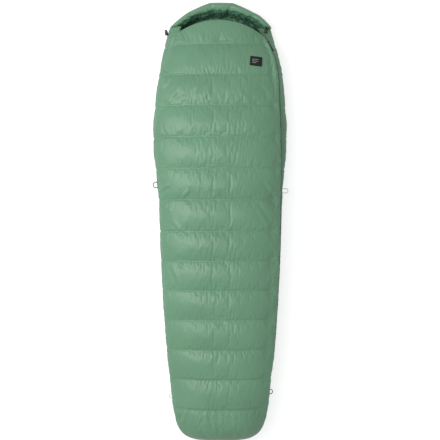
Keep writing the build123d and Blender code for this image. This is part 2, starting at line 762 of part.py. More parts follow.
def on_tape(y, nose_up):
    """Where a slider sits: its nose points to the head end or to the foot end."""
    mid, head, face, across = tape_frame(y)
    side = across * -1 if nose_up else across
    return Plane(origin=mid, x_dir=tuple(side), z_dir=tuple(face)).location


low_place, top_place = on_tape(LOW_SLIDER_Y, False), on_tape(TOP_SLIDER_Y, True)
save("slider_lower", low_place * slider_body())
save("slider_upper", top_place * slider_body())
turn_round = Rot(0, 0, 180)  # the pulls lie over the sliders' tails
save("pull_ring_lower", low_place * turn_round * pull_ring())
save("pull_tab_lower", low_place * turn_round * pull_tab(TAB_LONG))
save("pull_ring_upper", top_place * turn_round * pull_ring())
save("pull_tab_upper", top_place * turn_round * pull_tab(TAB_SHORT))

# draft tube: a flat padded tube behind the closed zipper, hung on the top quilt's edge
draft_profile = Pos(*DRAFT_AT) * Rot(0, 0, DRAFT_TILT) * SlotCenterToCenter(DRAFT_DEEP, DRAFT_WIDE)
draft_profile += bar(tape_edge - DRAFT_FLANGE, tape_edge, DRAFT_AT[1], -EDGE_IN + 2)
save("draft_tube", along_zipper(draft_profile, ZIP_LOW.Y, root_zip_y))
save("fold_draft_tube", along_zipper(draft_profile, root_zip_y, flap_zip_y - SOFT_GAP))
save("draft_tube_flap", along_zipper(draft_profile, flap_zip_y, coil_top_y))

# ================================================================ label on the folding corner
def label():
    """A woven patch that follows the chamber it is sewn to."""
    chamber_top, chamber_foot = seams[0], seams[1]
    outer = chamber(top_section, chamber_top, chamber_foot, proud=LABEL_GAP + LABEL_THICK)
    inner = chamber(top_section, chamber_top, chamber_foot, proud=LABEL_GAP)
    patch = extrude(RectangleRounded(LABEL_WIDE, LABEL_HIGH, 2.0), REACH)
    return (outer - inner) & (Pos(LABEL_AT[0], LABEL_AT[1], 0) * Rot(0, 0, LABEL_TURN) * patch)


save("label_patch", solids_of(label(), 50.0)[0])


# ================================================================ loops and cord locks on the side seams
def seat(solid, inward, others, gap=SOFT_GAP):
    """Slide a solid along inward until it is gap away from the pieces that carry it."""
    for _ in range(12):
        room = min(solid.distance_to(other) for other in others) - gap
        if room < 0.02:
            break
        solid = Pos(*(inward * room)) * solid
    return solid


def cord_loop(reach, wide, thick):
    """A sewn loop lying flat: two legs and a half ring, pointing along +X."""
    turn = wide / 2
    leg = max(reach - turn, 1.0)
    path = Wire([
        Edge.make_line((0, -turn, 0), (leg, -turn, 0)),
        Edge.make_three_point_arc((leg, -turn, 0), (leg + turn, 0, 0), (leg, turn, 0)),
        Edge.make_line((leg, turn, 0), (0, turn, 0)),
    ])
    return sweep(Plane(origin=(0, -turn, 0), z_dir=(1, 0, 0)) * Circle(thick / 2), path=path).solid()


def carriers(y):
    """The upper and under chamber that meet at the side seam at y."""
    number = sum(1 for s in seams if y < s)
    top = top_chambers[number]
    return [top, under_chambers[number]]


def side_loop(y, left, reach, wide, thick):
    half, crown, base = body_shape(y)
    turned = Rot(0, 0, 180) if left else Rot(0, 0, 0)
    outward = Vector(-1 if left else 1, 0, 0)
    height = left_edge(y)[1] if left else right_edge(y)[0][1]
    if not left and right_edge(y)[1] > 0:
        height = base - 6
    start = Pos(outward.X * (half + 25), y, height) * turned * cord_loop(reach, wide, thick)
    return seat(start, outward * -1, carriers(y))


save("side_loop_left", side_loop(*SIDE_LOOP_LEFT))
save("side_loop_right", side_loop(*SIDE_LOOP_RIGHT))
save("foot_loop_left", side_loop(*FOOT_LOOP_LEFT))
save("foot_loop_right", side_loop(*FOOT_LOOP_RIGHT))


def lock_barrel():
    """Cord lock barrel along +Y with a blind bore for the button and a cross hole for the cord."""
    body = Cylinder(LOCK_R, LOCK_LONG)
    body = fillet(body.edges(), 1.2)
    bore_deep = LOCK_LONG - 3.0
    bore = Pos(0, 0, LOCK_LONG / 2 - bore_deep / 2) * Cylinder(BUTTON_R + LOCK_FIT, bore_deep)
    hole = Rot(90, 0, 0) * Cylinder(LOCK_HOLE_R, 4 * LOCK_R)
    return Rot(-90, 0, 0) * (body - bore - hole)


def lock_button():
    """The plunger with its own cross hole, standing out of the barrel by its travel and a cap."""
    stem_long = LOCK_LONG - 3.0 - BUTTON_TRAVEL - 1.0
    stem_mid = LOCK_LONG / 2 - stem_long / 2
    stem = Pos(0, 0, stem_mid) * Cylinder(BUTTON_R, stem_long + 0.2)
    neck = Pos(0, 0, LOCK_LONG / 2 + (BUTTON_TRAVEL + 1) / 2) * Cylinder(BUTTON_R, BUTTON_TRAVEL + 1)
    cap = Pos(0, 0, LOCK_LONG / 2 + BUTTON_TRAVEL + 1 + 1.2) * Cylinder(LOCK_R - 1, 2.4)
    cap = fillet(cap.edges().group_by(Axis.Z)[-1], 0.8)
    hole = Rot(90, 0, 0) * Cylinder(LOCK_HOLE_R, 4 * LOCK_R)
    slot = hole + Pos(0, 0, BUTTON_TRAVEL) * hole
    slot += Box(2 * LOCK_HOLE_R, 4 * LOCK_R, BUTTON_TRAVEL, align=(Align.CENTER, Align.CENTER, Align.MIN))
    return Rot(-90, 0, 0) * (stem + neck + cap - slot)


def cord_lock(place, tilt, hood_piece, neck_piece):
    """Barrel, button and cord end of one side, seated against the bag's side."""
    side = 1 if place[0] > 0 else -1
    inward = Vector(-side, 0, 0)
    turned = Rot(0, 0, tilt)
    barrel = seat(Pos(*place) * turned * lock_barrel(), inward, [hood_piece, neck_piece])
    shift = barrel.bounding_box().center() - (Pos(*place) * turned * lock_barrel()).bounding_box().center()
    at = Pos(*(Vector(*place) + shift)) * turned
    loop_half = LOCK_R + LOCK_CORD_R * 2
    cord = Cylinder(LOCK_CORD_R, 2 * loop_half)
    knot = Pos(0, 0, -loop_half) * Sphere(LOCK_CORD_R * 2)
    return barrel, at * lock_button(), at * (cord + knot)


for side_name, place, tilt, baffle in (
    ("left", LOCK_LEFT, LOCK_TILT, hood_baffle(0)),
    ("right", LOCK_RIGHT, -LOCK_TILT, hood_baffle(len(HOOD_RIM) - 2)),
):
    barrel, button, cord = cord_lock(place, tilt, baffle, neck_under)
    save(f"cord_lock_{side_name}", barrel)
    save(f"lock_button_{side_name}", button)
    save(f"drawcord_end_{side_name}", cord)
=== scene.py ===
"""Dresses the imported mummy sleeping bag: quilted shell, lining, hood, zipper, trim, floor and light.

The bag lies on its back. Lengths are metres: +Y points to the hood, +X to the zipper side, +Z up.
"""
import json
import math

import bmesh
import bpy
import numpy as np
from bpy.props import FloatProperty, FloatVectorProperty, IntProperty, PointerProperty
from mathutils import Matrix, Vector
from mathutils.bvhtree import BVHTree


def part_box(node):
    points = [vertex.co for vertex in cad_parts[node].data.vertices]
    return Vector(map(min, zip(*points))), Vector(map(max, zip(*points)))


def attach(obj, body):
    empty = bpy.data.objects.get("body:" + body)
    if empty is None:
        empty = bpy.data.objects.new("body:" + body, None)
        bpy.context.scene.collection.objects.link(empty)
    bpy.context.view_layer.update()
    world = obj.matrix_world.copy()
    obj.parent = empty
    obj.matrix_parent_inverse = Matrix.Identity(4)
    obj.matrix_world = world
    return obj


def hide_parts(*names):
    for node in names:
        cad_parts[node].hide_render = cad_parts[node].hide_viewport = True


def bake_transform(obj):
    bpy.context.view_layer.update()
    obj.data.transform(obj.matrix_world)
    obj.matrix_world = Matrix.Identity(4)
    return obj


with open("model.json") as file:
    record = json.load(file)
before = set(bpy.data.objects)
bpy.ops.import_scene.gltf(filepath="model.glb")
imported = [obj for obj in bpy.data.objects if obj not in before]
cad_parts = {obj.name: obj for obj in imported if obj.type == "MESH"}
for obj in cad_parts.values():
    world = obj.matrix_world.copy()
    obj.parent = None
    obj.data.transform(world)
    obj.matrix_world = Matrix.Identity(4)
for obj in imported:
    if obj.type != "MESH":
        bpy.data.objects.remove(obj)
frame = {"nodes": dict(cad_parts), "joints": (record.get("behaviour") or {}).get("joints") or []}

bl_info = {
    "name": "Mummy Sleeping Bag",
    "version": (1, 0, 0),
    "blender": (4, 5, 0),
    "location": "3D View > Sidebar > Sleeping Bag",
    "description": "Builds the fabric, zipper and trim of a quilted mummy sleeping bag round its frame",
    "category": "Object",
}

BAG, CORNER = "bag", "top_corner"
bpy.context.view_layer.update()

# ---------------------------------------------------------------- outline of the bag
# place along the bag, half width, crown height, height of the widest line
BODY_SHAPE = [
    (0.945, 0.234, 0.156, 0.068),
    (0.824, 0.266, 0.182, 0.078),
    (0.659, 0.296, 0.222, 0.096),
    (0.398, 0.318, 0.245, 0.105),
    (0.094, 0.292, 0.241, 0.105),
    (-0.210, 0.281, 0.236, 0.104),
    (-0.514, 0.262, 0.229, 0.102),
    (-0.880, 0.226, 0.232, 0.102),
]
CROWN_POWER = 2.3
TOP_SEAM_Y = 0.824
BODY_PITCH = 0.146
LEG_PITCH = 0.138
SEAMS = [TOP_SEAM_Y - BODY_PITCH * i for i in range(7)]
SEAMS += [SEAMS[-1] - LEG_PITCH * (i + 1) for i in range(6)]
LAST_SEAM = SEAMS[-1]
TOE_Y = -1.041
HOOD_Y = 0.918
SEAM_DIP = 0.006
SEAM_TUCK = 0.0035
FLOOR_DIP = 0.008
LOFT_TOP = 0.040
LOFT_FLOOR = 0.046
INNER_PUFF = 0.006
SIDE_WALL = 0.042
FLAT_SHARE = 0.60
EDGE_SEAM_INSET = 0.009
EDGE_OUT = 0.004
EDGE_IN = 0.009
EDGE_WALL = 0.022
ROLL_SHARE = 0.84
LEFT_SEAM_START_Y = 0.700
LEFT_SEAM_INSET = 0.046
NECK_EDGE_MID = Vector((0.003, 0.941))
NECK_EDGE_LEFT = Vector((-0.198, 0.884))
NECK_EDGE_RIGHT = Vector((0.204, 0.872))

# ---------------------------------------------------------------- zipper
ZIP_LOW_Y = -0.640
ZIP_BEND_Y = 0.659
ZIP_NECK_Y = 0.866
ZIP_END_Y = -0.742
ZIP_LEAN = math.radians(25)
ZIP_ROLL = 0.018
TAPE_HALF = 0.008
TOP_SLIDER_Y = 0.842

# ---------------------------------------------------------------- folding corner
FOLD_SEAM = 4
FOLD_NECK = Vector((-0.090, 0.935, 0.227))


def joint(name):
    return next(j for j in frame["joints"] if j["name"] == name)


# ================================================================ curves that the pieces share
def body_shape(y):
    """Half width, crown height and height of the widest line at y, on one smooth curve."""
    rows = BODY_SHAPE[::-1]
    y = min(max(y, rows[0][0]), rows[-1][0])
    i = max(k for k in range(len(rows) - 1) if rows[k][0] <= y)
    low, high = rows[i], rows[i + 1]
    span = high[0] - low[0]
    u = (y - low[0]) / span

    def slope(k, column):
        before, after = rows[max(k - 1, 0)], rows[min(k + 1, len(rows) - 1)]
        return (after[column] - before[column]) / (after[0] - before[0])

    values = []
    for column in (1, 2, 3):
        values.append(
            (2 * u**3 - 3 * u**2 + 1) * low[column]
            + (u**3 - 2 * u**2 + u) * span * slope(i, column)
            + (3 * u**2 - 2 * u**3) * high[column]
            + (u**3 - u**2) * span * slope(i + 1, column)
        )
    return values


def ease(u):
    u = np.clip(u, 0.0, 1.0)
    return u * u * (3 - 2 * u)


class ZipArc:
    """A round stretch of the zipper, about the hinge that its slider turns on."""

    def __init__(self, joint_name, node, y_start):
        hinge = joint(joint_name)
        self.centre = Vector(hinge["pos_m"])
        self.axis = Vector(hinge["axis"]).normalized()
        self.along = (Vector((0, 1, 0)) - self.axis * self.axis.y).normalized()
        self.out = self.along.cross(self.axis)
        low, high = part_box(node)
        middle = (low + high) / 2
        off = middle - self.centre
        self.radius = (off - self.axis * off.dot(self.axis)).length
        self.start = self.angle(y_start)
        heading = self.heading(self.start)
        face = Vector((math.cos(ZIP_LEAN), 0, math.sin(ZIP_LEAN)))
        self.first_face = (face - heading * face.dot(heading)).normalized()

    def angle(self, y):
        return math.asin((y - self.centre.y) / (self.radius * self.along.y))

    def heading(self, a):
        return (self.along * math.cos(a) - self.out * math.sin(a)).normalized()

    def frame(self, y):
        """Point, heading, outward face and across direction (towards the top quilt) at y."""
        a = self.angle(y)
        point = self.centre + (self.out * math.cos(a) + self.along * math.sin(a)) * self.radius
        face = Matrix.Rotation(a - self.start, 3, self.axis) @ self.first_face
        head = self.heading(a)
        return point, head, face, -head.cross(face)


MAIN_ARC = ZipArc("lower_slider_travel", "slider_lower", ZIP_LOW_Y)
NECK_ARC = ZipArc("upper_slider_travel", "slider_upper", ZIP_BEND_Y)


def tape_frame(y):
    return (MAIN_ARC if y <= ZIP_BEND_Y else NECK_ARC).frame(y)


def right_edge(y):
    """Middle of the right-hand closure at y, its half gap, and its across and outward directions."""
    half, crown, base = body_shape(y)
    zip_y = max(min(y, ZIP_NECK_Y), ZIP_LOW_Y - 0.01)
    middle, head, face, across = tape_frame(zip_y)
    middle = middle + head * ((y - middle.y) / head.y)
    share = 1.0
    if y < ZIP_LOW_Y - 0.01:
        share = 1 - float(ease((ZIP_LOW_Y - 0.01 - y) / (ZIP_LOW_Y - 0.01 - ZIP_END_Y)))
    seam = (half - EDGE_SEAM_INSET, base)
    x = seam[0] + (middle.x - seam[0]) * share
    z = seam[1] + (middle.z - seam[1]) * share
    tilt = ZIP_LEAN * share
    across2, out2 = np.array((-math.sin(tilt), math.cos(tilt))), np.array((math.cos(tilt), math.sin(tilt)))
    return np.array((x, z)), TAPE_HALF * share, across2, out2


def left_edge(y):
    """The left side seam, which climbs onto the chest near the neck."""
    half, crown, base = body_shape(y)
    climb = float(ease((y - LEFT_SEAM_START_Y) / (NECK_EDGE_LEFT.y - LEFT_SEAM_START_Y)))
    inset = EDGE_SEAM_INSET + (LEFT_SEAM_INSET - EDGE_SEAM_INSET) * climb
    over = (1 - ((half - inset) / half) ** CROWN_POWER) ** (1 / CROWN_POWER)
    return np.array((-(half - inset), base + (crown - base) * over * climb * 0.85))


def crown_point(half, crown, base, turn):
    """A point of the upper outline: turn is 0 at the right, 90 at the crown, 180 at the left."""
    c, s = math.cos(math.radians(turn)), math.sin(math.radians(turn))
    power = 2 / CROWN_POWER
    return np.array((math.copysign(half * abs(c) ** power, c), base + (crown - base) * abs(s) ** power))


def bulged(p, q, ratio, base):
    """The middle of a rolled edge from p to q, pushed away from the bag's inside."""
    d = q - p
    side = np.array((d[1], -d[0]))
    middle = (p + q) / 2
    if side @ (middle - np.array((0, base))) < 0:
        side = -side
    return middle + side * ratio


def smooth_line(points, count):
    """Evenly spaced points on a smooth line through the given ones."""
    p = np.asarray(points, float)
    ends = np.vstack([2 * p[0] - p[1], p, 2 * p[-1] - p[-2]])
    t = np.concatenate([[0], np.cumsum(np.linalg.norm(np.diff(ends, axis=0), axis=1) ** 0.5)])
    line = []
    for i in range(1, len(ends) - 2):
        u = np.linspace(t[i], t[i + 1], 12, endpoint=i == len(ends) - 3)[:, None]
        p0, p1, p2, p3 = ends[i - 1:i + 3]
        t0, t1, t2, t3 = t[i - 1:i + 3]
        a1 = p0 * (t1 - u) / (t1 - t0) + p1 * (u - t0) / (t1 - t0)
        a2 = p1 * (t2 - u) / (t2 - t1) + p2 * (u - t1) / (t2 - t1)
        a3 = p2 * (t3 - u) / (t3 - t2) + p3 * (u - t2) / (t3 - t2)
        b1 = a1 * (t2 - u) / (t2 - t0) + a2 * (u - t0) / (t2 - t0)
        b2 = a2 * (t3 - u) / (t3 - t1) + a3 * (u - t1) / (t3 - t1)
        line.append(b1 * (t2 - u) / (t2 - t1) + b2 * (u - t1) / (t2 - t1))
    line = np.vstack(line)
    run = np.concatenate([[0], np.cumsum(np.linalg.norm(np.diff(line, axis=0), axis=1))])
    return np.stack([np.interp(np.linspace(0, run[-1], count), run, line[:, k]) for k in range(p.shape[1])], 1)


# ================================================================ the bag's sections
def toe_factors(y):
    """Shares of the half width and of the crown's rise past the last seam, and lift of the underside."""
    t = min(max((LAST_SEAM - y) / (LAST_SEAM - TOE_Y), 0.0), 1.0)
    wide = (1 - 0.17 * t) * (1 - (0.985 * t) ** 4) ** 0.25
    rise = max(0.0, 1 - t**3.2) ** 0.5
    lift = 0.5 * (1 - max(0.0, 1 - max(t - 0.45, 0.0) ** 2 / 0.3025) ** 0.5)
    return wide, rise, lift


def outline(y, fullness):
    half, crown, base = body_shape(y)
    middle, gap, across, out = right_edge(y)
    full_half = half - SEAM_TUCK * (1 - fullness)
    wide, rise, lift = toe_factors(y)
    half_now = full_half * wide
    right = min(half_now, middle[0] + ZIP_ROLL) if y > 0 else half_now
    left = left_edge(y)
    if y < LAST_SEAM:
        middle = np.array(((half - EDGE_SEAM_INSET) * wide, base))
        left = np.array((-(half - EDGE_SEAM_INSET) * wide, base))
    return {
        "half": half_now,
        "right": right,
        "crown": base + (crown - SEAM_DIP * (1 - fullness) - base) * rise,
        "base": base,
        "floor": FLOOR_DIP * (1 - fullness) + lift * base * 2,
        "middle": middle,
        "gap": gap,
        "across": across,
        "out": out,
        "left": left,
        "wide": wide,
        "rise": rise,
    }


def top_outer(y, fullness, count):
    o = outline(y, fullness)
    edge_out = EDGE_OUT * min(1.0, o["rise"] * 2)
    first = o["middle"] + o["across"] * o["gap"] + o["out"] * edge_out
    last = o["left"]
    reach_left = -last[0]
    far = 180 - math.degrees(math.acos(min(1.0, ROLL_SHARE * reach_left / o["half"]) ** (CROWN_POWER / 2)))

    def outer(turn):
        return crown_point(o["right"] if turn < 90 else o["half"], o["crown"], o["base"], turn)

    shoulder, last_turn = outer(34), outer(far)
    keys = [first, bulged(first, shoulder, 0.26, o["base"]), shoulder]
    keys += [outer(t) for t in (44, 54, 64, 74, 84, 94)]
    keys += [outer(94 + (far - 94) * s) for s in (0.2, 0.4, 0.6, 0.8)]
    keys += [last_turn, bulged(last_turn, last, 0.24, o["base"]), last]
    return smooth_line(keys, count)


def top_inner(y, fullness, count):
    o = outline(y, fullness)
    depth = min(1.0, o["rise"])
    first = o["middle"] + o["across"] * o["gap"] - o["out"] * EDGE_IN
    last = o["left"] + np.array((EDGE_IN + EDGE_OUT, 0))
    reach_left = -o["left"][0]

    def lining(turn):
        half = o["right"] if turn < 90 else min(o["half"], reach_left + EDGE_WALL)
        crown = o["crown"] - (LOFT_TOP + (SEAM_DIP + INNER_PUFF) * fullness) * depth
        return crown_point((half - SIDE_WALL) * depth + half * (1 - depth) * 0.9, crown, o["base"], turn)

    near = lining(24)
    near[1] = max(near[1], first[1] - EDGE_OUT)
    keys = [first, near] + [lining(t) for t in (40, 56, 72, 88, 104, 120, 136, 152)] + [last]
    return smooth_line(keys, count)


def under_outer(y, fullness, count):
    o = outline(y, fullness)
    first = o["middle"] - o["across"] * o["gap"] + o["out"] * (EDGE_OUT - 0.001)
    last = o["left"]
    wide_z = min(o["base"] - 0.012, first[1] - 0.022)
    flat = FLAT_SHARE * o["half"]
    right_wide, left_wide = np.array((o["half"], wide_z)), np.array((-o["half"], wide_z))
    floor = o["floor"]
    sink = (wide_z - floor)

    def corner(side, a):
        """Points of the quarter curve between the flat floor and the widest line."""
        c, s = math.cos(math.radians(a)), math.sin(math.radians(a))
        x = flat + (o["half"] - flat) * c**0.85
        return np.array((side * x, wide_z - sink * s**0.9))

    keys = [first, bulged(first, right_wide, 0.2, o["base"]), right_wide]
    keys += [corner(1, a) for a in (25, 50, 72)]
    keys += [np.array((s * flat, floor)) for s in (0.93, 0.5, 0, -0.5, -0.93)]
    keys += [corner(-1, a) for a in (72, 50, 25)]
    keys += [left_wide, bulged(left_wide, last, 0.2, o["base"]), last]
    line = smooth_line(keys, count)
    line[:, 1] = np.maximum(line[:, 1], 0.0005)
    return line


def under_inner(y, fullness, count):
    o = outline(y, fullness)
    first = o["middle"] - o["across"] * o["gap"] - o["out"] * EDGE_IN
    last = o["left"] + np.array((EDGE_IN + EDGE_OUT, 0))
    deep = min(o["floor"] + LOFT_FLOOR + INNER_PUFF * fullness, o["base"] - 0.004)
    flat = FLAT_SHARE * o["half"] - 0.008

    def corner(edge, a):
        c, s = math.cos(math.radians(a)), math.sin(math.radians(a))
        side = 1 if edge[0] > 0 else -1
        return np.array((side * (flat + (abs(edge[0]) - flat) * c), edge[1] - (edge[1] - deep) * s))

    keys = [first] + [corner(first, a) for a in (25, 50, 72)]
    keys += [np.array((s * flat, deep)) for s in (0.9, 0.4, 0, -0.4, -0.9)]
    keys += [corner(last, a) for a in (72, 50, 25)] + [last]
    return smooth_line(keys, count)


def chamber_fullness(s):
    """How full a chamber is between its two seams, from 0 at a seam to 1."""
    return float((1 - abs(2 * s - 1) ** 2.4) ** 0.62)


def neck_edge_y(x):
    """Place of the top quilt's curved neck edge at x: the circle through its three given points."""
    if x <= NECK_EDGE_LEFT.x:
        return NECK_EDGE_LEFT.y
    if x >= NECK_EDGE_RIGHT.x:
        return NECK_EDGE_RIGHT.y
    a, b, c = NECK_EDGE_LEFT, NECK_EDGE_MID, NECK_EDGE_RIGHT
    d = 2 * (a.x * (b.y - c.y) + b.x * (c.y - a.y) + c.x * (a.y - b.y))
    ux = (a.length_squared * (b.y - c.y) + b.length_squared * (c.y - a.y) + c.length_squared * (a.y - b.y)) / d
    uy = (a.length_squared * (c.x - b.x) + b.length_squared * (a.x - c.x) + c.length_squared * (b.x - a.x)) / d
    radius = math.hypot(a.x - ux, a.y - uy)
    return uy + math.sqrt(radius**2 - (x - ux) ** 2)


def toe_rows(count):
    """Places from the last seam to the toe, closer together where the end turns down."""
    turn = [math.sin(math.pi / 2 * i / count) ** 0.8 for i in range(1, count + 1)]
    return [LAST_SEAM + (TOE_Y - LAST_SEAM) * t for t in turn]


class Panel:
    """A quilted panel as a grid: rows run from the head to the toe, columns from the zipper to the left seam."""

    def __init__(self, section, columns, step, follows_neck_edge):
        self.rows = []
        self.seam_rows = []
        neck_rows = 2 * max(2, round((0.941 - SEAMS[0]) / step / 2))
        for i in range(neck_rows):
            s = i / neck_rows
            self.rows.append(("neck", 1 - s, 0.35 + 0.65 * chamber_fullness(0.25 + 0.75 * s)))
        for head, foot in zip(SEAMS[:-1], SEAMS[1:]):
            self.seam_rows.append(len(self.rows))
            steps = 2 * round((head - foot) / step / 2)
            for i in range(steps):
                s = i / steps
                self.rows.append(("body", head + (foot - head) * s, chamber_fullness(s)))
        self.seam_rows.append(len(self.rows))
        self.rows.append(("body", LAST_SEAM, 0.0))
        toe = toe_rows(2 * round(0.24 / step / 2))
        for i, y in enumerate(toe, 1):
            self.rows.append(("body", y, min(1.0, chamber_fullness(0.5 * min(1, i / 6)))))
        self.section, self.columns, self.follows = section, columns, follows_neck_edge
        self.points = self.trace(section, columns)

    def head_y(self, x):
        return neck_edge_y(x) if self.follows else HOOD_Y

    def trace(self, section, columns, every=1):
        """Points of a section over the panel's rows, taking each row that every names."""
        grid = []
        for kind, place, fullness in self.rows[::every]:
            if kind == "body":
                flat = section(place, fullness, columns)
                grid.append(np.column_stack([flat[:, 0], np.full(columns, place), flat[:, 1]]))
                continue
            row = np.zeros((columns, 3))
            y = np.full(columns, SEAMS[0] + place * (HOOD_Y - SEAMS[0]))
            for _ in range(3):
                table = {v: section(v, fullness, columns) for v in np.unique(np.round(y, 3))}
                for k in range(columns):
                    x, z = table[np.round(y[k], 3)][k]
                    row[k] = (x, SEAMS[0] + place * (self.head_y(x) - SEAMS[0]), z)
                y = row[:, 1].copy()
            grid.append(row)
        return np.array(grid)


# ================================================================ grids and meshes
def finer(grid):
    """The same surface with twice as many steps each way."""
    for axis in (0, 1):
        g = np.moveaxis(grid, axis, 0)
        padded = np.concatenate([2 * g[:1] - g[1:2], g, 2 * g[-1:] - g[-2:-1]])
        middle = (-padded[:-3] + 9 * padded[1:-2] + 9 * padded[2:-1] - padded[3:]) / 16
        out = np.empty((2 * len(g) - 1,) + g.shape[1:])
        out[0::2], out[1::2] = g, middle
        grid = np.moveaxis(out, 0, axis)
    return grid


def grid_normals(grid, outward):
    """Unit normals of a grid, pointing away from the point or points given as outward."""
    n = np.cross(np.gradient(grid, axis=1), np.gradient(grid, axis=0))
    n /= np.maximum(np.linalg.norm(n, axis=2, keepdims=True), 1e-9)
    middle = n.shape[0] // 2, n.shape[1] // 2
    if n[middle] @ (grid[middle] - outward) < 0:
        n = -n
    return n


class Ripple:
    """Smooth noise from -1 to 1 on a plane, the same in every run."""

    def __init__(self, seed):
        self.table = np.random.RandomState(seed).rand(128, 128) * 2 - 1

    def __call__(self, x, y):
        xi, yi = np.floor(x).astype(int), np.floor(y).astype(int)
        fx, fy = x - xi, y - yi
        fx, fy = fx * fx * (3 - 2 * fx), fy * fy * (3 - 2 * fy)
        t = self.table
        a, b = t[xi % 128, yi % 128], t[(xi + 1) % 128, yi % 128]
        c, d = t[xi % 128, (yi + 1) % 128], t[(xi + 1) % 128, (yi + 1) % 128]
        return (a * (1 - fx) + b * fx) * (1 - fy) + (c * (1 - fx) + d * fx) * fy


def add_object(name, vertices, faces, materials, face_material=None, smooth=True):
    mesh = bpy.data.meshes.new(name)
    mesh.from_pydata([tuple(v) for v in vertices], [], [tuple(f) for f in faces])
    for material in materials:
        mesh.materials.append(material)
    if face_material is not None:
        mesh.polygons.foreach_set("material_index", np.asarray(face_material, np.int32))
    if smooth:
        mesh.polygons.foreach_set("use_smooth", np.ones(len(mesh.polygons), bool))
    mesh.update()
    obj = bpy.data.objects.new(name, mesh)
    bpy.context.scene.collection.objects.link(obj)
    return obj


def grid_faces(rows, columns, start=0, flip=False):
    i, k = np.meshgrid(np.arange(rows - 1), np.arange(columns - 1), indexing="ij")
    a = start + i * columns + k
    quads = np.stack([a, a + 1, a + columns + 1, a + columns], -1).reshape(-1, 4)
    return quads[:, ::-1] if flip else quads


def border(rows, columns, start=0):
    """Vertex numbers round a grid's edge, once round."""
    top = [start + k for k in range(columns)]
    right = [start + i * columns + columns - 1 for i in range(1, rows)]
    foot = [start + (rows - 1) * columns + k for k in range(columns - 2, -1, -1)]
    left = [start + i * columns for i in range(rows - 2, 0, -1)]
    return top + right + foot + left


def closed_panel(name, outer, inner, step, materials, flip):
    """One closed piece from a fine outer grid and an inner grid that has every step-th row and column."""
    rows, columns = outer.shape[:2]
    in_rows, in_columns = inner.shape[:2]
    start = rows * columns
    vertices = np.vstack([outer.reshape(-1, 3), inner.reshape(-1, 3)])
    shell = grid_faces(rows, columns, 0, flip)
    lining = grid_faces(in_rows, in_columns, start, not flip)
    rim = []
    ring, inner_ring = border(rows, columns), border(in_rows, in_columns, start)
    for i, here in enumerate(inner_ring):
        after = inner_ring[(i + 1) % len(inner_ring)]
        outer_run = [ring[(i * step + k) % len(ring)] for k in range(step + 1)]
        for k in range(step):
            rim.append((outer_run[k], outer_run[k + 1], here if 2 * k < step else after))
        rim.append((outer_run[(step + 1) // 2], after, here))
    faces = [tuple(f) for f in shell] + [tuple(f) for f in lining] + rim
    kinds = [0] * len(shell) + [1] * len(lining) + [0] * len(rim)
    obj = add_object(name, vertices, faces, materials, kinds)
    face_outwards(obj)
    return obj


def face_outwards(obj):
    sewn = bmesh.new()
    sewn.from_mesh(obj.data)
    bmesh.ops.recalc_face_normals(sewn, faces=sewn.faces)
    sewn.to_mesh(obj.data)
    sewn.free()


def set_uv(obj, uv):
    """Gives a mesh a UV map in metres of cloth from one pair for each vertex."""
    layer = obj.data.uv_layers.new(name="cloth")
    corners = np.empty(len(obj.data.loops), np.int32)
    obj.data.loops.foreach_get("vertex_index", corners)
    layer.data.foreach_set("uv", np.asarray(uv, np.float32)[corners].ravel())


def cloth_uv(grid):
    """Distance across and along a grid's surface, in metres."""
    across = np.concatenate(
        [np.zeros((grid.shape[0], 1)), np.cumsum(np.linalg.norm(np.diff(grid, axis=1), axis=2), axis=1)], 1
    )
    across -= across[:, grid.shape[1] // 2][:, None]
    along = np.concatenate(
        [np.zeros((1, grid.shape[1])), np.cumsum(np.linalg.norm(np.diff(grid, axis=0), axis=2), axis=0)]
    )
    return np.stack([across, along.mean(1, keepdims=True).repeat(grid.shape[1], 1)], -1).reshape(-1, 2)


def inflate(grid, pins, pressure, growth, frames, bend, reach):
    """Fills a quilted grid: the cloth grows a little, swells between its pinned seams and puckers there."""
    rows, columns = grid.shape[:2]
    cloth = add_object("filling", grid.reshape(-1, 3), grid_faces(rows, columns), [])
    group = cloth.vertex_groups.new(name="sewn")
    group.add([int(i) for i in np.flatnonzero(pins.ravel())], 1.0, "REPLACE")
    modifier = cloth.modifiers.new("fill", "CLOTH")
    settings = modifier.settings
    settings.quality = 4
    settings.mass = 0.08
    settings.tension_stiffness = 12
    settings.compression_stiffness = 12
    settings.shear_stiffness = 4
    settings.bending_stiffness = bend
    settings.tension_damping = 8
    settings.compression_damping = 8
    settings.shear_damping = 6
    settings.air_damping = 4
    settings.use_pressure = True
    settings.uniform_pressure_force = pressure
    settings.shrink_min = -growth
    settings.vertex_group_mass = "sewn"
    settings.pin_stiffness = 1
    settings.effector_weights.gravity = 0
    modifier.collision_settings.use_collision = False
    modifier.point_cache.frame_start = 1
    modifier.point_cache.frame_end = frames
    scene = bpy.context.scene
    for number in range(1, frames + 1):
        scene.frame_set(number)
    evaluated = cloth.evaluated_get(bpy.context.evaluated_depsgraph_get())
    filled = np.empty(rows * columns * 3)
    evaluated.data.vertices.foreach_get("co", filled)
    filled = filled.reshape(grid.shape)
    bpy.data.objects.remove(cloth)
    scene.frame_set(1)
    moved = filled - grid
    far = np.linalg.norm(moved, axis=2, keepdims=True)
    return grid + moved * np.minimum(1.0, reach / np.maximum(far, 1e-9))


# ================================================================ wrinkles
# strength of the gathers at each seam, from the neck down
SEAM_GATHERS = [0.15, 1.0, 1.1, 0.9, 0.8, 1.1, 0.5, 1.0, 0.9, 0.8, 0.9, 0.8, 0.9]
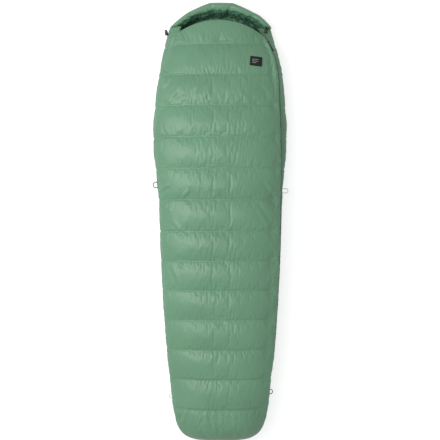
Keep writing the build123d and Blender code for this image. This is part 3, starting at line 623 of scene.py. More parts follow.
# tension folds of the top quilt: x and y where each starts and ends, width, height
TENSION_FOLDS = [
    (-0.281, 0.604, -0.215, 0.690, 0.013, 0.0026),
    (-0.236, 0.566, -0.150, 0.662, 0.013, 0.0030),
    (-0.197, 0.576, -0.127, 0.656, 0.011, 0.0026),
    (-0.250, 0.534, -0.192, 0.604, 0.010, 0.0022),
    (-0.128, 0.595, -0.040, 0.671, 0.012, 0.0030),
    (-0.271, 0.623, -0.235, 0.671, 0.010, 0.0020),
    (-0.080, 0.560, -0.030, 0.620, 0.010, 0.0016),
    (0.186, 0.651, 0.258, 0.566, 0.012, 0.0014),
    (0.215, 0.600, 0.268, 0.530, 0.011, 0.0014),
    (0.090, 0.600, 0.150, 0.520, 0.012, 0.0014),
    (-0.282, 0.136, -0.236, 0.167, 0.009, 0.0034),
    (-0.178, 0.102, -0.138, 0.140, 0.009, 0.0024),
    (-0.232, 0.010, -0.150, -0.090, 0.010, 0.0026),
    (-0.212, -0.006, -0.166, -0.086, 0.008, 0.0020),
    (-0.262, 0.078, -0.226, 0.030, 0.009, 0.0018),
    (-0.232, -0.198, -0.172, -0.330, 0.011, 0.0024),
    (-0.205, -0.175, -0.165, -0.235, 0.009, 0.0020),
    (0.200, 0.190, 0.278, 0.106, 0.010, 0.0022),
    (0.215, 0.160, 0.272, 0.095, 0.009, 0.0018),
    (0.180, 0.098, 0.255, -0.010, 0.010, 0.0022),
    (0.205, 0.085, 0.262, 0.010, 0.009, 0.0018),
    (0.168, 0.060, 0.236, -0.050, 0.010, 0.0014),
    (-0.030, 0.156, 0.006, 0.088, 0.010, 0.0026),
    (0.010, 0.160, 0.050, 0.100, 0.010, 0.0018),
    (-0.158, -0.872, -0.178, -0.958, 0.010, 0.0036),
    (-0.130, -0.880, -0.140, -0.965, 0.009, 0.0024),
    (-0.068, -0.885, -0.068, -0.960, 0.010, 0.0030),
    (-0.038, -0.872, -0.018, -0.990, 0.010, 0.0030),
    (-0.080, -0.970, -0.042, -1.010, 0.010, 0.0030),
    (-0.010, -0.865, 0.012, -0.905, 0.009, 0.0024),
    (-0.005, -0.930, 0.015, -1.000, 0.010, 0.0024),
    (0.140, -0.985, 0.112, -0.945, 0.008, 0.0026),
    (0.060, -0.900, 0.070, -0.960, 0.010, 0.0018),
]


def gathers(grid, seam_rows, strengths, centre, spread, seed):
    """Height of the short puckers that run square to each seam."""
    across = cloth_uv(grid)[:, 0].reshape(grid.shape[:2])
    rise = np.zeros(grid.shape[:2])
    for number, (row, strength) in enumerate(zip(seam_rows, strengths)):
        past = grid[:, :, 1] - grid[row, :, 1][None, :]
        near = np.abs(past) < 0.10
        for side in (-1, 1):
            bend = Ripple(seed + 10 * number + side)
            reach = 0.022 + 0.016 * bend(across / 0.045, 7.3 + 0 * across)
            slant = 0.5 * bend(across / 0.12, 31.7 + 0 * across)
            phase = (across + slant * past) / 0.0175 + 0.9 * bend(across / 0.06, past / 0.05 + 3)
            ridge = 1 - 2 * np.abs(np.sin(math.pi * phase)) ** 0.85
            patch = 0.25 + 0.75 * np.exp(-(((across - centre) / spread) ** 2))
            patch = patch * (0.65 + 0.75 * bend(across / 0.05, 55.1 + 0 * across))
            fall = np.exp(-((np.abs(past) / reach) ** 1.6))
            start = 0.25 + 0.75 * np.clip(np.abs(past) / 0.006, 0, 1)
            rise += np.where(near & (past * side > 0), strength * patch * fall * start * ridge, 0)
    return rise


def folds(grid, table):
    """Height of the long folds that the table gives."""
    rise = np.zeros(grid.shape[:2])
    for x0, y0, x1, y1, width, height in table:
        run = np.array((x1 - x0, y1 - y0))
        length = np.linalg.norm(run)
        run /= length
        dx, dy = grid[:, :, 0] - x0, grid[:, :, 1] - y0
        t = (dx * run[0] + dy * run[1]) / length
        off = (dx * -run[1] + dy * run[0]) / width
        ends = np.clip(t * 4, 0, 1) * np.clip((1 - t) * 4, 0, 1)
        ends = ends * ends * (3 - 2 * ends)
        rise += height * ends * (np.exp(-(off**2)) - 0.8 * np.exp(-((off + 1.3) ** 2)))
    return rise


# ================================================================ materials
def node_material(name):
    material = bpy.data.materials.new(name)
    material.use_nodes = True
    tree = material.node_tree
    return material, tree, tree.nodes["Principled BSDF"]


def link_noise(tree, source, scale, detail=3.0, stretch=(1, 1, 1)):
    mapping = tree.nodes.new("ShaderNodeMapping")
    mapping.inputs["Scale"].default_value = stretch
    texture = tree.nodes.new("ShaderNodeTexNoise")
    texture.inputs["Scale"].default_value = scale
    texture.inputs["Detail"].default_value = detail
    tree.links.new(source, mapping.inputs["Vector"])
    tree.links.new(mapping.outputs["Vector"], texture.inputs["Vector"])
    return texture.outputs["Fac"]


def link_bump(tree, height, strength, distance, before=None):
    bump = tree.nodes.new("ShaderNodeBump")
    bump.inputs["Strength"].default_value = strength
    bump.inputs["Distance"].default_value = distance
    tree.links.new(height, bump.inputs["Height"])
    if before is not None:
        tree.links.new(before, bump.inputs["Normal"])
    return bump.outputs["Normal"]


def link_weave(tree, source, pitch):
    """Height of a plain weave of that pitch, from two crossed waves."""
    heights = []
    for direction in ("X", "Y"):
        wave = tree.nodes.new("ShaderNodeTexWave")
        wave.bands_direction = direction
        wave.inputs["Scale"].default_value = 0.314 / pitch
        tree.links.new(source, wave.inputs["Vector"])
        heights.append(wave.outputs["Fac"])
    blend = tree.nodes.new("ShaderNodeMath")
    blend.operation = "MAXIMUM"
    tree.links.new(heights[0], blend.inputs[0])
    tree.links.new(heights[1], blend.inputs[1])
    return blend.outputs[0]


def ramp(tree, factor, dark, light, low=0.3, high=0.7):
    node = tree.nodes.new("ShaderNodeValToRGB")
    node.color_ramp.elements[0].position = low
    node.color_ramp.elements[0].color = (*dark, 1)
    node.color_ramp.elements[1].position = high
    node.color_ramp.elements[1].color = (*light, 1)
    tree.links.new(factor, node.inputs["Fac"])
    return node.outputs["Color"]


def shade(colour, factor):
    return tuple(min(1.0, c * factor) for c in colour)


def fabric(name, colour, roughness, crinkle, pitch, sheen=0.0, uneven=0.06, coords="UV"):
    """Woven nylon: colour that drifts a little, small crinkles and a weave."""
    material, tree, surface = node_material(name)
    place = tree.nodes.new("ShaderNodeTexCoord")
    drift = link_noise(tree, place.outputs["Object"], 5.0)
    tree.links.new(
        ramp(tree, drift, shade(colour, 1 - uneven), shade(colour, 1 + uneven)), surface.inputs["Base Color"]
    )
    rough = tree.nodes.new("ShaderNodeMapRange")
    rough.inputs["To Min"].default_value = roughness - 0.04
    rough.inputs["To Max"].default_value = roughness + 0.05
    tree.links.new(drift, rough.inputs["Value"])
    tree.links.new(rough.outputs["Result"], surface.inputs["Roughness"])
    small = link_noise(tree, place.outputs["Object"], 45.0, 4.0, (1.0, 0.55, 1.0))
    normal = link_bump(tree, small, crinkle, 0.004)
    weave = link_weave(tree, place.outputs[coords], pitch)
    normal = link_bump(tree, weave, 0.25, pitch * 0.2, normal)
    tree.links.new(normal, surface.inputs["Normal"])
    surface.inputs["Sheen Weight"].default_value = sheen
    surface.inputs["Sheen Roughness"].default_value = 0.4
    surface.inputs["Specular IOR Level"].default_value = 0.45
    return material


def hard(name, colour, roughness, metallic=0.0, grain=220.0, worn=None):
    """Moulded plastic or painted metal with a fine grain, and paler wear where asked."""
    material, tree, surface = node_material(name)
    place = tree.nodes.new("ShaderNodeTexCoord")
    grains = link_noise(tree, place.outputs["Object"], grain, 4.0)
    light = worn if worn is not None else shade(colour, 1.6)
    tree.links.new(ramp(tree, grains, colour, light, 0.55, 0.85), surface.inputs["Base Color"])
    tree.links.new(link_bump(tree, grains, 0.12, 0.0006), surface.inputs["Normal"])
    surface.inputs["Roughness"].default_value = roughness
    surface.inputs["Metallic"].default_value = metallic
    return material


def finish_of(name):
    return bpy.data.materials[name]


# ================================================================ what a user may change
class BagColours(bpy.types.PropertyGroup):
    shell: FloatVectorProperty(
        name="Shell", description="Colour of the outer nylon", subtype="COLOR", default=(0.175, 0.365, 0.225)
    )
    lining: FloatVectorProperty(
        name="Lining", description="Colour of the inner nylon", subtype="COLOR", default=(0.050, 0.135, 0.080)
    )
    tape: FloatVectorProperty(
        name="Zipper tape", description="Colour of the woven tape", subtype="COLOR", default=(0.030, 0.070, 0.045)
    )
    black: FloatVectorProperty(
        name="Trim", description="Colour of webbing, label and plastic", subtype="COLOR", default=(0.012, 0.012, 0.013)
    )
    cord: FloatVectorProperty(
        name="Cord", description="Colour of the loops and drawcords", subtype="COLOR", default=(0.55, 0.56, 0.54)
    )


class BagQuilting(bpy.types.PropertyGroup):
    step: FloatProperty(name="Cloth step", description="Size of the cloth's mesh", unit="LENGTH", default=0.008)
    pucker: FloatProperty(
        name="Pucker height", description="Height of the gathers at the seams", unit="LENGTH", default=0.0013
    )
    growth: FloatProperty(name="Slack", description="How much larger the cloth is than its frame", default=0.018)
    pressure: FloatProperty(name="Fill pressure", description="How hard the fill pushes", default=1.2)
    frames: IntProperty(name="Settling steps", description="Steps that the cloth is given", default=22)
    reach: FloatProperty(name="Most swell", description="Limit on the swell", unit="LENGTH", default=0.008)


class BagStage(bpy.types.PropertyGroup):
    height: FloatProperty(name="Camera height", description="Above the floor", unit="LENGTH", default=4.52)
    field: FloatProperty(
        name="Field of view", description="Angle that the picture spans", subtype="ANGLE", default=math.radians(26.66)
    )


# ================================================================ shared pieces of the quilt
surfaces = {}  # fine outer grids that trim is laid on


def bend_corner(piece):
    """Bakes the piece's placement into its mesh; the piece does not bend with the corner of the top quilt that folds
    back.
    """
    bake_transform(piece)


def nodes_named(*starts):
    return [n for n in sorted(frame["nodes"]) if n.startswith(starts)]


def dressed_panel(name, panel, inner_section, wrinkle, seed):
    """A panel after filling, made finer, wrinkled and closed with its lining."""
    quilt = bpy.context.scene.bag_quilting
    columns = panel.columns
    pins = np.zeros(panel.points.shape[:2], bool)
    for row in panel.seam_rows:
        pins[row] = True
    pins[0], pins[-1] = True, True
    pins[:, 0], pins[:, -1] = True, True
    pins[:, 1], pins[:, -2] = True, True
    filled = inflate(panel.points, pins, quilt.pressure, quilt.growth, quilt.frames, 0.02, quilt.reach)
    outer = finer(filled)
    inside = panel.points.mean(1, keepdims=True).mean(0, keepdims=True)
    normals = grid_normals(outer, inside[0, 0])
    outer = outer + normals * wrinkle(outer, [2 * r for r in panel.seam_rows])[:, :, None]
    inner = panel.trace(inner_section, columns)
    crumple = Ripple(seed)
    inner_normals = grid_normals(inner, inside[0, 0])
    inner += inner_normals * (0.004 * crumple(inner[:, :, 0] / 0.022, inner[:, :, 1] / 0.03))[:, :, None]
    piece = closed_panel(name, outer, inner, 2, [finish_of("shell_nylon"), finish_of("lining_nylon")], False)
    set_uv(piece, np.vstack([cloth_uv(outer), cloth_uv(inner)]))
    surfaces[name] = outer
    return piece


class BAG_OT_top_quilt(bpy.types.Operator):
    """Sew and fill the top quilt, from the neck edge to the toe."""

    bl_idname = "bag.top_quilt"
    bl_label = "Top Quilt"

    def execute(self, context):
        quilt = context.scene.bag_quilting
        panel = Panel(top_outer, 119, quilt.step, True)

        def wrinkle(grid, seam_rows):
            rise = quilt.pucker * gathers(grid, seam_rows, SEAM_GATHERS, 0.03, 0.10, 11)
            return rise + folds(grid, TENSION_FOLDS)

        piece = dressed_panel("top_quilt", panel, top_inner, wrinkle, 5)
        bend_corner(piece)
        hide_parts(*nodes_named("top_chamber", "flap_chamber", "fold_band"))
        return {"FINISHED"}


class BAG_OT_under_panel(bpy.types.Operator):
    """Sew and fill the under panel, from the hood to the toe."""

    bl_idname = "bag.under_panel"
    bl_label = "Under Panel"

    def execute(self, context):
        quilt = context.scene.bag_quilting
        panel = Panel(under_outer, 119, quilt.step, False)

        def wrinkle(grid, seam_rows):
            clear = np.clip((grid[:, :, 2] - 0.012) / 0.02, 0, 1)
            return clear * quilt.pucker * gathers(grid, seam_rows, [0.8] * len(seam_rows), 0.0, 0.6, 211)

        piece = dressed_panel("under_panel", panel, under_inner, wrinkle, 6)
        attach(piece, BAG)
        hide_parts(*nodes_named("under_chamber"))
        return {"FINISHED"}


# ================================================================ hood
# corner of the rim's crest line: x, y, height
HOOD_RIM = [
    (-0.241, HOOD_Y, 0.128),
    (-0.160, 0.984, 0.140),
    (-0.052, 1.0315, 0.150),
    (0.066, 1.0305, 0.150),
    (0.190, 0.972, 0.138),
    (0.247, HOOD_Y, 0.126),
]
HOOD_WALL = 0.052
HOOD_PUFF = 0.007
HOOD_FLOOR = 0.044


def rim_out(i):
    x, y, height = HOOD_RIM[i]
    if i in (0, len(HOOD_RIM) - 1):
        return np.array((-1.0 if x < 0 else 1.0, 0, 0))
    out = np.array((x, y - HOOD_Y, 0))
    return out / np.linalg.norm(out)


def hood_section(i, share, count, crumple):
    """Closed section of the hood's padded wall, at a share of the way along baffle i."""
    a, b = np.array(HOOD_RIM[i]), np.array(HOOD_RIM[i + 1])
    x, y, height = a + (b - a) * share
    out = rim_out(i) * (1 - share) + rim_out(i + 1) * share
    out /= np.linalg.norm(out)
    full = chamber_fullness(share)
    puff = HOOD_PUFF * full

    def at(rho, z):
        return np.array((x, y, 0)) + out * rho + np.array((0, 0, z))

    keys = [
        at(-0.034, 0.0005),
        at(-0.012 + puff * 0.6, height * 0.10),
        at(puff - 0.002 * (1 - full), height * 0.40),
        at(-0.003 + puff * 0.9, height * 0.68),
        at(-0.012 + puff * 0.6, height * 0.92),
        at(-0.024 + puff * 0.4, height + puff * 0.5 - 0.004 * (1 - full)),
        at(-0.038, height * 0.96),
        at(-HOOD_WALL - puff * 0.1, height * 0.78),
        at(-HOOD_WALL - puff * 0.4, height * 0.56),
        at(-HOOD_WALL - 0.008, HOOD_FLOOR * 1.1),
        at(-HOOD_WALL - 0.002, HOOD_FLOOR * 0.6),
        at(-HOOD_WALL + 0.004, 0.0005),
    ]
    line = smooth_line(keys, count)
    line[:, 2] = np.maximum(line[:, 2], 0.0005)
    return line


class BAG_OT_hood(bpy.types.Operator):
    """Make the hood: padded rim baffles round a crinkled lining."""

    bl_idname = "bag.hood"
    bl_label = "Hood"

    def execute(self, context):
        quilt = context.scene.bag_quilting
        count, steps = 72, 30
        sections, seam_rows = [], []
        for i in range(len(HOOD_RIM) - 1):
            seam_rows.append(len(sections))
            for k in range(steps):
                sections.append(hood_section(i, k / steps, count, None))
        seam_rows.append(len(sections))
        sections.append(hood_section(len(HOOD_RIM) - 2, 1.0, count, None))
        grid = np.array(sections)
        run = np.concatenate([[0], np.cumsum(np.linalg.norm(np.diff(grid[:, 20], axis=0), axis=1))])
        girth = np.concatenate([[0], np.cumsum(np.linalg.norm(np.diff(grid[75], axis=0), axis=1))])
        normals = np.cross(np.gradient(grid, axis=0), np.gradient(grid, axis=1))
        normals /= np.maximum(np.linalg.norm(normals, axis=2, keepdims=True), 1e-9)
        middle = grid.mean(1)[75]
        if normals[75, 20] @ (grid[75, 20] - middle) < 0:
            normals = -normals
        crumple, fine = Ripple(71), Ripple(72)
        u, v = np.meshgrid(girth, run)
        inner_share = np.clip((u - girth[38]) / 0.02, 0, 1)
        rise = inner_share * 0.0045 * (crumple(u / 0.016, v / 0.014) + 0.6 * fine(u / 0.008, v / 0.008))
        gather = np.zeros_like(u)
        for row in seam_rows[1:-1]:
            past = v - run[row]
            gather += np.exp(-((np.abs(past) / 0.016) ** 1.5)) * np.sin(u / 0.0155 * 6.28 + 2 * fine(u / 0.03, v / 0.1))
        rise += quilt.pucker * 1.1 * gather * (1 - inner_share)
        rise *= np.clip(grid[:, :, 2] / 0.02, 0, 1)
        grid = grid + normals * rise[:, :, None]
        rows = len(grid)
        vertices = grid.reshape(-1, 3)
        faces, kinds = [], []
        for i in range(rows - 1):
            for k in range(count):
                after = (k + 1) % count
                faces.append((i * count + k, i * count + after, (i + 1) * count + after, (i + 1) * count + k))
                kinds.append(1 if 41 <= k < count - 1 else 0)
        faces += [tuple(range(count)), tuple((rows - 1) * count + k for k in reversed(range(count)))]
        kinds += [0, 0]
        finishes = [finish_of("shell_nylon"), finish_of("hood_lining")]
        rim = add_object("hood_rim", vertices, faces, finishes, kinds)
        face_outwards(rim)
        set_uv(rim, np.column_stack([u.ravel(), v.ravel()]))
        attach(rim, BAG)
        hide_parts(*nodes_named("hood_baffle"))
        self.pad()
        return {"FINISHED"}

    def pad(self):
        """The pad under the head, crumpled like the lining that covers it."""
        low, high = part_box("hood_floor")
        ring = []
        for i in range(len(HOOD_RIM) - 1):
            for share in np.linspace(0, 1, 16, endpoint=False):
                a, b = np.array(HOOD_RIM[i]), np.array(HOOD_RIM[i + 1])
                x, y, height = a + (b - a) * share
                out = rim_out(i) * (1 - share) + rim_out(i + 1) * share
                out /= np.linalg.norm(out)
                ring.append(np.array((x, y)) - out[:2] * (HOOD_WALL + 0.004))
        x, y, height = HOOD_RIM[-1]
        ring.append(np.array((x, y)) - rim_out(len(HOOD_RIM) - 1)[:2] * (HOOD_WALL + 0.004))
        ring = np.array(ring)
        crumple, fine = Ripple(81), Ripple(82)
        rows, levels = [], 26
        for level in range(levels + 1):
            s = level / levels
            points = ring.copy()
            points[:, 1] = HOOD_Y + (ring[:, 1] - HOOD_Y) * s
            points[:, 0] = ring[:, 0] * (1.0)
            edge = np.minimum(1, np.minimum(s * 8, 1))
            height = HOOD_FLOOR + 0.010 * np.sin(math.pi * np.linspace(0, 1, len(ring))) * (1 - s**2)
            height = height + 0.006 * s**3
            height += 0.004 * crumple(points[:, 0] / 0.018, points[:, 1] / 0.016) * edge
            height += 0.002 * fine(points[:, 0] / 0.008, points[:, 1] / 0.008) * edge
            rows.append(np.column_stack([points, height]))
        top = np.array(rows)
        under = top.copy()
        under[:, :, 2] = 0.001
        under = under[::2, ::2]
        pad = closed_panel(
            "hood_pad", top, under, 2, [finish_of("hood_lining"), finish_of("shell_nylon")], False
        )
        set_uv(pad, np.vstack([top[:, :, :2].reshape(-1, 2), under[:, :, :2].reshape(-1, 2)]))
        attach(pad, BAG)
        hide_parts("hood_floor")


# ================================================================ zipper
def along_zipper(profile, low_y, high_y, step=0.005):
    """Rows of a closed profile, drawn in (across, out), swept along the zipper."""
    count = max(2, round((high_y - low_y) / step))
    rows = []
    for y in np.linspace(low_y, high_y, count + 1):
        point, head, face, across = tape_frame(y)
        rows.append([np.array(point + across * a + face * o) for a, o in profile])
    return np.array(rows)


def swept(name, rows, materials):
    """A closed tube from rows of a closed profile."""
    count, around = rows.shape[:2]
    faces = []
    for i in range(count - 1):
        for k in range(around):
            after = (k + 1) % around
            faces.append((i * around + k, i * around + after, (i + 1) * around + after, (i + 1) * around + k))
    faces += [tuple(range(around)), tuple((count - 1) * around + k for k in reversed(range(around)))]
    piece = add_object(name, rows.reshape(-1, 3), faces, materials, smooth=True)
    face_outwards(piece)
    lengths = np.linspace(0, np.linalg.norm(rows[-1, 0] - rows[0, 0]), count)
    girth = np.concatenate([[0], np.cumsum(np.linalg.norm(np.diff(rows[0], axis=0), axis=1))])
    set_uv(piece, np.array([(g, v) for v in lengths for g in girth]))
    return piece


def slot_profile(centre, deep, wide, tilt, sides=10):
    """A flat tube's outline: two half rounds a distance apart."""
    points = []
    for end in (1, -1):
        for k in range(sides + 1):
            a = math.pi * k / sides - math.pi / 2
            points.append((end * (deep / 2 + wide / 2 * math.cos(a)), end * wide / 2 * math.sin(a)))
    c, s = math.cos(tilt), math.sin(tilt)
    return [(centre[0] + x * c - y * s, centre[1] + x * s + y * c) for x, y in points]


COIL_HALF_GAP = 0.0005
COIL_WIDE = 0.003
COIL_HIGH = 0.0024
TAPE_THICK = 0.0008


def strip(side, a, b, half):
    return [(side * a, -half), (side * b, -half), (side * b, half), (side * a, half)]


class BAG_OT_zipper(bpy.types.Operator):
    """Make the zipper's tapes, coils and draft tube."""

    bl_idname = "bag.zipper"
    bl_label = "Zipper"

    def execute(self, context):
        tape, coil = finish_of("zipper_tape"), finish_of("zipper_coil")
        for side, name, top in ((-1, "under", ZIP_NECK_Y), (1, "top", TOP_SLIDER_Y - 0.012)):
            rows = along_zipper(
                strip(side, COIL_HALF_GAP + COIL_WIDE * 0.6, TAPE_HALF - 0.0003, TAPE_THICK / 2), ZIP_LOW_Y, top
            )
            band = swept(f"zipper_tape_{name}_side", rows, [tape])
            teeth = self.teeth(f"zipper_coil_{name}_side", side, top, coil)
            for piece, part in ((band, "tape"), (teeth, "coil")):
                if side < 0:
                    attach(piece, BAG)
                    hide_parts(f"zipper_{part}_under")
                else:
                    bend_corner(piece)
                    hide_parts(f"zipper_{part}_top", f"zipper_{part}_flap", "fold_zipper")
        profile = slot_profile((0.0048, -0.033), 0.022, 0.0125, math.radians(-80))
        tube = swept("draft_tube_cover", along_zipper(profile, ZIP_LOW_Y, TOP_SLIDER_Y - 0.012), [finish_of("lining_nylon")])
        bend_corner(tube)
        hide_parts("draft_tube", "draft_tube_flap", "fold_draft_tube")
        return {"FINISHED"}

    def teeth(self, name, side, top, material):
        """The coil: a row of small loops set along the zipper."""
        tooth_profile = []
        path = []
        pitch = 0.0018
        y = ZIP_LOW_Y
        while y < top:
            path.append(y)
            y += 0.01
        path.append(top)
        vertices, faces_dir = [], []
        for y in path:
            point, head, face, across = tape_frame(y)
            vertices.append(point + across * side * (COIL_HALF_GAP + COIL_WIDE / 2))
            faces_dir.append(face)
        return follow_path(name, vertices, faces_dir, coil_tooth(side), pitch, material)


def coil_tooth(side):
    """One turn of the coil: a bevelled bar across the tape."""
    tooth = bmesh.new()
    bmesh.ops.create_cube(tooth, size=1.0)
    for v in tooth.verts:
        v.co.x *= COIL_WIDE
        v.co.y *= 0.0013
        v.co.z *= COIL_HIGH
    bmesh.ops.bevel(tooth, geom=tooth.edges[:], offset=0.0003, segments=1, affect="EDGES")
    mesh = bpy.data.meshes.new("coil_turn")
    tooth.to_mesh(mesh)
    tooth.free()
    obj = bpy.data.objects.new("coil_turn", mesh)
    bpy.context.scene.collection.objects.link(obj)
    return obj


def spacing_tree(material):
    """Geometry Nodes that set a piece at even steps along a path, turned to the path's own faces."""
    tree = bpy.data.node_groups.new("row_along_path", "GeometryNodeTree")
    face = tree.interface
    face.new_socket("Geometry", in_out="INPUT", socket_type="NodeSocketGeometry")
    face.new_socket("Piece", in_out="INPUT", socket_type="NodeSocketObject")
    step = face.new_socket("Spacing", in_out="INPUT", socket_type="NodeSocketFloat")
    step.default_value = 0.004
    face.new_socket("Geometry", in_out="OUTPUT", socket_type="NodeSocketGeometry")
    new = tree.nodes.new
    start, end = new("NodeGroupInput"), new("NodeGroupOutput")
    curve = new("GeometryNodeMeshToCurve")
    even = new("GeometryNodeResampleCurve")
    even.mode = "LENGTH"
    tangent = new("GeometryNodeInputTangent")
    facing = new("GeometryNodeInputNamedAttribute")
    facing.data_type = "FLOAT_VECTOR"
    facing.inputs["Name"].default_value = "facing"
    lie = new("FunctionNodeAlignRotationToVector")
    lie.axis = "Y"
    stand = new("FunctionNodeAlignRotationToVector")
    stand.axis = "Z"
    stand.pivot_axis = "Y"
    piece = new("GeometryNodeObjectInfo")
    place = new("GeometryNodeInstanceOnPoints")
    real = new("GeometryNodeRealizeInstances")
    paint = new("GeometryNodeSetMaterial")
    paint.inputs["Material"].default_value = material
    link = tree.links.new
    link(start.outputs["Geometry"], curve.inputs["Mesh"])
    link(curve.outputs["Curve"], even.inputs["Curve"])
    link(start.outputs["Spacing"], even.inputs["Length"])
    link(tangent.outputs["Tangent"], lie.inputs["Vector"])
    link(lie.outputs["Rotation"], stand.inputs["Rotation"])
    link(facing.outputs["Attribute"], stand.inputs["Vector"])
    link(even.outputs["Curve"], place.inputs["Points"])
    link(start.outputs["Piece"], piece.inputs["Object"])
    link(piece.outputs["Geometry"], place.inputs["Instance"])
    link(stand.outputs["Rotation"], place.inputs["Rotation"])
    link(place.outputs["Instances"], real.inputs["Geometry"])
    link(real.outputs["Geometry"], paint.inputs["Geometry"])
    link(paint.outputs["Geometry"], end.inputs["Geometry"])
    return tree


def follow_path(name, points, facing, piece, spacing, material, breaks=()):
    """A plain mesh of the piece repeated along one or more open paths; breaks name where a path ends."""
    edges = [(i, i + 1) for i in range(len(points) - 1) if i not in set(breaks)]
    mesh = bpy.data.meshes.new(name)
    mesh.from_pydata([tuple(p) for p in points], edges, [])
    attribute = mesh.attributes.new("facing", "FLOAT_VECTOR", "POINT")
    attribute.data.foreach_set("vector", np.array([tuple(f) for f in facing], np.float32).ravel())
    obj = bpy.data.objects.new(name, mesh)
    bpy.context.scene.collection.objects.link(obj)
    tree = spacing_tree(material)
    modifier = obj.modifiers.new("row", "NODES")
    modifier.node_group = tree
    sockets = {i.name: i.identifier for i in tree.interface.items_tree if i.in_out == "INPUT"}
    modifier[sockets["Piece"]] = piece
    modifier[sockets["Spacing"]] = spacing
    evaluated = obj.evaluated_get(bpy.context.evaluated_depsgraph_get())
    plain = bpy.data.meshes.new_from_object(evaluated)
    obj.modifiers.remove(modifier)
    obj.data = plain
    obj.data.name = name
    bpy.data.objects.remove(piece)
    return obj


# ================================================================ hardware, label, loops
class BAG_OT_hardware(bpy.types.Operator):
    """Finish the sliders, pulls, cord locks and loops that the frame holds."""

    bl_idname = "bag.hardware"
    bl_label = "Hardware"

    def execute(self, context):
        finishes = {
            "slider_metal": nodes_named("slider_", "pull_ring", "zipper_stops"),
            "black_webbing": nodes_named("pull_tab", "side_loop_left", "foot_loop_right"),
            "grey_cord": nodes_named("side_loop_right", "foot_loop_left", "drawcord_end"),
            "black_plastic": nodes_named("cord_lock", "lock_button"),
        }
        for finish, names in finishes.items():
            for name in names:
                node = frame["nodes"][name]
                node.data.materials.clear()
                node.data.materials.append(finish_of(finish))
        return {"FINISHED"}


class BAG_OT_label(bpy.types.Operator):
    """Sew the plain black patch to the folding corner."""

    bl_idname = "bag.label"
    bl_label = "Label"

    def execute(self, context):
        low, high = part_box("label_patch")
        centre = (low + high) / 2
        wide, tall, turn = 0.057, 0.045, math.radians(-4)
        surface = surfaces["top_quilt"]
        rows, columns = surface.shape[:2]
        tree = BVHTree.FromPolygons(
            [tuple(v) for v in surface.reshape(-1, 3)], [tuple(f) for f in grid_faces(rows, columns)]
        )

        def on_quilt(x, y, lift):
            px = centre.x + x * math.cos(turn) - y * math.sin(turn)
            py = centre.y + x * math.sin(turn) + y * math.cos(turn)
            spot, normal, index, far = tree.ray_cast(Vector((px, py, 0.4)), Vector((0, 0, -1)))
            if normal.z < 0:
                normal = -normal
            return np.array(spot + normal * lift)

        def patch(name, x0, x1, y0, y1, lift, thick, material, count):
            xs, ys = np.linspace(x0, x1, count), np.linspace(y0, y1, count)
            top = np.array([[on_quilt(x, y, lift + thick) for x in xs] for y in ys])
            foot = np.array([[on_quilt(x, y, lift) for x in xs] for y in ys])
            piece = closed_panel(name, top, foot, 1, [finish_of(material)] * 2, False)
            flat = [(x, y) for y in ys for x in xs]
            set_uv(piece, np.array(flat + flat))
            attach(piece, CORNER)
            return piece

        body = patch("label_patch_woven", -wide / 2, wide / 2, -tall / 2, tall / 2, 0.0003, 0.0012, "label_satin", 17)
        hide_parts("label_patch")
        for number, (y, length) in enumerate(((0.008, 0.030), (0.0, 0.030), (-0.008, 0.020))):
            start = -wide / 2 + 0.010
            patch(
                f"label_stripe_{number + 1}", start, start + length, y - 0.0014, y + 0.0014, 0.0014, 0.0005,
                "label_thread", 6,
            )
        return {"FINISHED"}


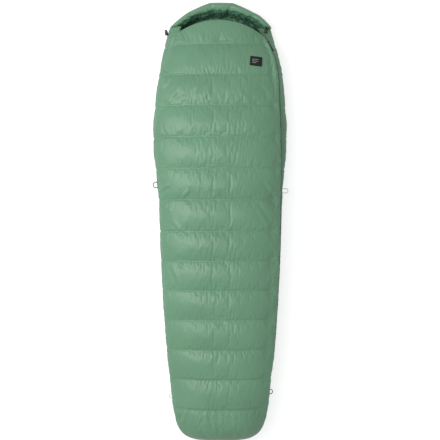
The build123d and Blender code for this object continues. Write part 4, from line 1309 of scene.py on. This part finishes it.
# ================================================================ stage
class BAG_OT_stage(bpy.types.Operator):
    """Set the floor, the soft lights and the camera above the bag."""

    bl_idname = "bag.stage"
    bl_label = "Stage"

    def execute(self, context):
        settings = context.scene.bag_stage
        scene = context.scene
        bpy.ops.mesh.primitive_plane_add(size=14, location=(0, 0, 0))
        floor = context.object
        floor.name = "floor"
        floor.data.materials.append(self.floor_finish())
        self.lamp("softbox_left", (-2.6, 0.7, 2.9), (2.2, 2.6), 44)
        self.lamp("softbox_top", (-1.3, 0.3, 3.9), (0.55, 3.2), 42)
        self.world(scene)
        data = bpy.data.cameras.new("camera")
        data.sensor_width = 36
        data.lens = data.sensor_width / 2 / math.tan(settings.field / 2)
        camera = bpy.data.objects.new("camera", data)
        camera.location = (0, 0, settings.height)
        scene.collection.objects.link(camera)
        scene.camera = camera
        scene.view_settings.view_transform = "Standard"
        return {"FINISHED"}

    def lamp(self, name, place, size, power):
        data = bpy.data.lights.new(name, "AREA")
        data.shape = "RECTANGLE"
        data.size, data.size_y = size
        data.energy = power
        lamp = bpy.data.objects.new(name, data)
        lamp.location = place
        lamp.rotation_euler = (Vector((0, 0, 0.1)) - Vector(place)).to_track_quat("-Z", "Y").to_euler()
        bpy.context.scene.collection.objects.link(lamp)

    def seen_directly(self, tree):
        """1 for rays from the camera or through glass, else 0."""
        path = tree.nodes.new("ShaderNodeLightPath")
        either = tree.nodes.new("ShaderNodeMath")
        either.operation = "MAXIMUM"
        tree.links.new(path.outputs["Is Camera Ray"], either.inputs[0])
        tree.links.new(path.outputs["Is Transmission Ray"], either.inputs[1])
        return either.outputs[0]

    def floor_finish(self):
        material, tree, surface = node_material("pale_floor")
        surface.inputs["Base Color"].default_value = (0.80, 0.80, 0.80, 1)
        surface.inputs["Roughness"].default_value = 0.9
        surface.inputs["Specular IOR Level"].default_value = 0.0
        surface.inputs["Emission Color"].default_value = (1, 1, 1, 1)
        glow = tree.nodes.new("ShaderNodeMath")
        glow.operation = "MULTIPLY"
        glow.inputs[1].default_value = 0.62
        tree.links.new(self.seen_directly(tree), glow.inputs[0])
        tree.links.new(glow.outputs[0], surface.inputs["Emission Strength"])
        return material

    def world(self, scene):
        world = bpy.data.worlds.new("studio")
        world.use_nodes = True
        tree = world.node_tree
        back = tree.nodes["Background"]
        back.inputs["Color"].default_value = (1, 1, 1, 1)
        strength = tree.nodes.new("ShaderNodeMapRange")
        strength.inputs["To Min"].default_value = 0.42
        strength.inputs["To Max"].default_value = 1.0
        tree.links.new(self.seen_directly(tree), strength.inputs["Value"])
        tree.links.new(strength.outputs["Result"], back.inputs["Strength"])
        scene.world = world


def make_finishes():
    colours = bpy.context.scene.bag_colours
    fabric("shell_nylon", tuple(colours.shell), 0.36, 0.30, 0.0005, sheen=0.08)
    fabric("lining_nylon", tuple(colours.lining), 0.38, 0.8, 0.0005, sheen=0.05)
    fabric("hood_lining", tuple(shade(colours.lining, 1.5)), 0.32, 1.0, 0.0005, sheen=0.05, uneven=0.25)
    fabric("zipper_tape", tuple(colours.tape), 0.75, 0.1, 0.0008)
    fabric("black_webbing", tuple(colours.black), 0.7, 0.1, 0.0012, coords="Object")
    fabric("grey_cord", tuple(colours.cord), 0.7, 0.1, 0.0010, coords="Object")
    fabric("label_satin", tuple(colours.black), 0.5, 0.1, 0.0006)
    fabric("label_thread", (0.32, 0.33, 0.34), 0.6, 0.1, 0.0006)
    hard("zipper_coil", shade(tuple(colours.tape), 0.8), 0.4)
    hard("slider_metal", tuple(colours.black), 0.35, 0.6, worn=(0.10, 0.10, 0.10))
    hard("black_plastic", tuple(colours.black), 0.4)


class BAG_PT_panel(bpy.types.Panel):
    """The sleeping bag's sizes and colours, and a button for each group of pieces."""

    bl_label = "Sleeping Bag"
    bl_idname = "BAG_PT_panel"
    bl_space_type = "VIEW_3D"
    bl_region_type = "UI"
    bl_category = "Sleeping Bag"

    def draw(self, context):
        for group in (context.scene.bag_colours, context.scene.bag_quilting, context.scene.bag_stage):
            for name in group.bl_rna.properties.keys():
                if name not in ("rna_type", "name"):
                    self.layout.prop(group, name)
        for operator in OPERATORS:
            self.layout.operator(operator.bl_idname)


OPERATORS = (
    BAG_OT_stage,
    BAG_OT_top_quilt,
    BAG_OT_under_panel,
    BAG_OT_hood,
    BAG_OT_zipper,
    BAG_OT_hardware,
    BAG_OT_label,
)
GROUPS = (("bag_colours", BagColours), ("bag_quilting", BagQuilting), ("bag_stage", BagStage))


def register():
    for name, group in GROUPS:
        bpy.utils.register_class(group)
        setattr(bpy.types.Scene, name, PointerProperty(type=group))
    for operator in OPERATORS:
        bpy.utils.register_class(operator)
    bpy.utils.register_class(BAG_PT_panel)


def unregister():
    bpy.utils.unregister_class(BAG_PT_panel)
    for operator in reversed(OPERATORS):
        bpy.utils.unregister_class(operator)
    for name, group in GROUPS:
        delattr(bpy.types.Scene, name)
        bpy.utils.unregister_class(group)


def main():
    register()
    make_finishes()
    bpy.ops.bag.stage()
    bpy.ops.bag.top_quilt()
    bpy.ops.bag.under_panel()
    bpy.ops.bag.hood()
    bpy.ops.bag.zipper()
    bpy.ops.bag.hardware()
    bpy.ops.bag.label()


if __name__ == "__main__":
    main()
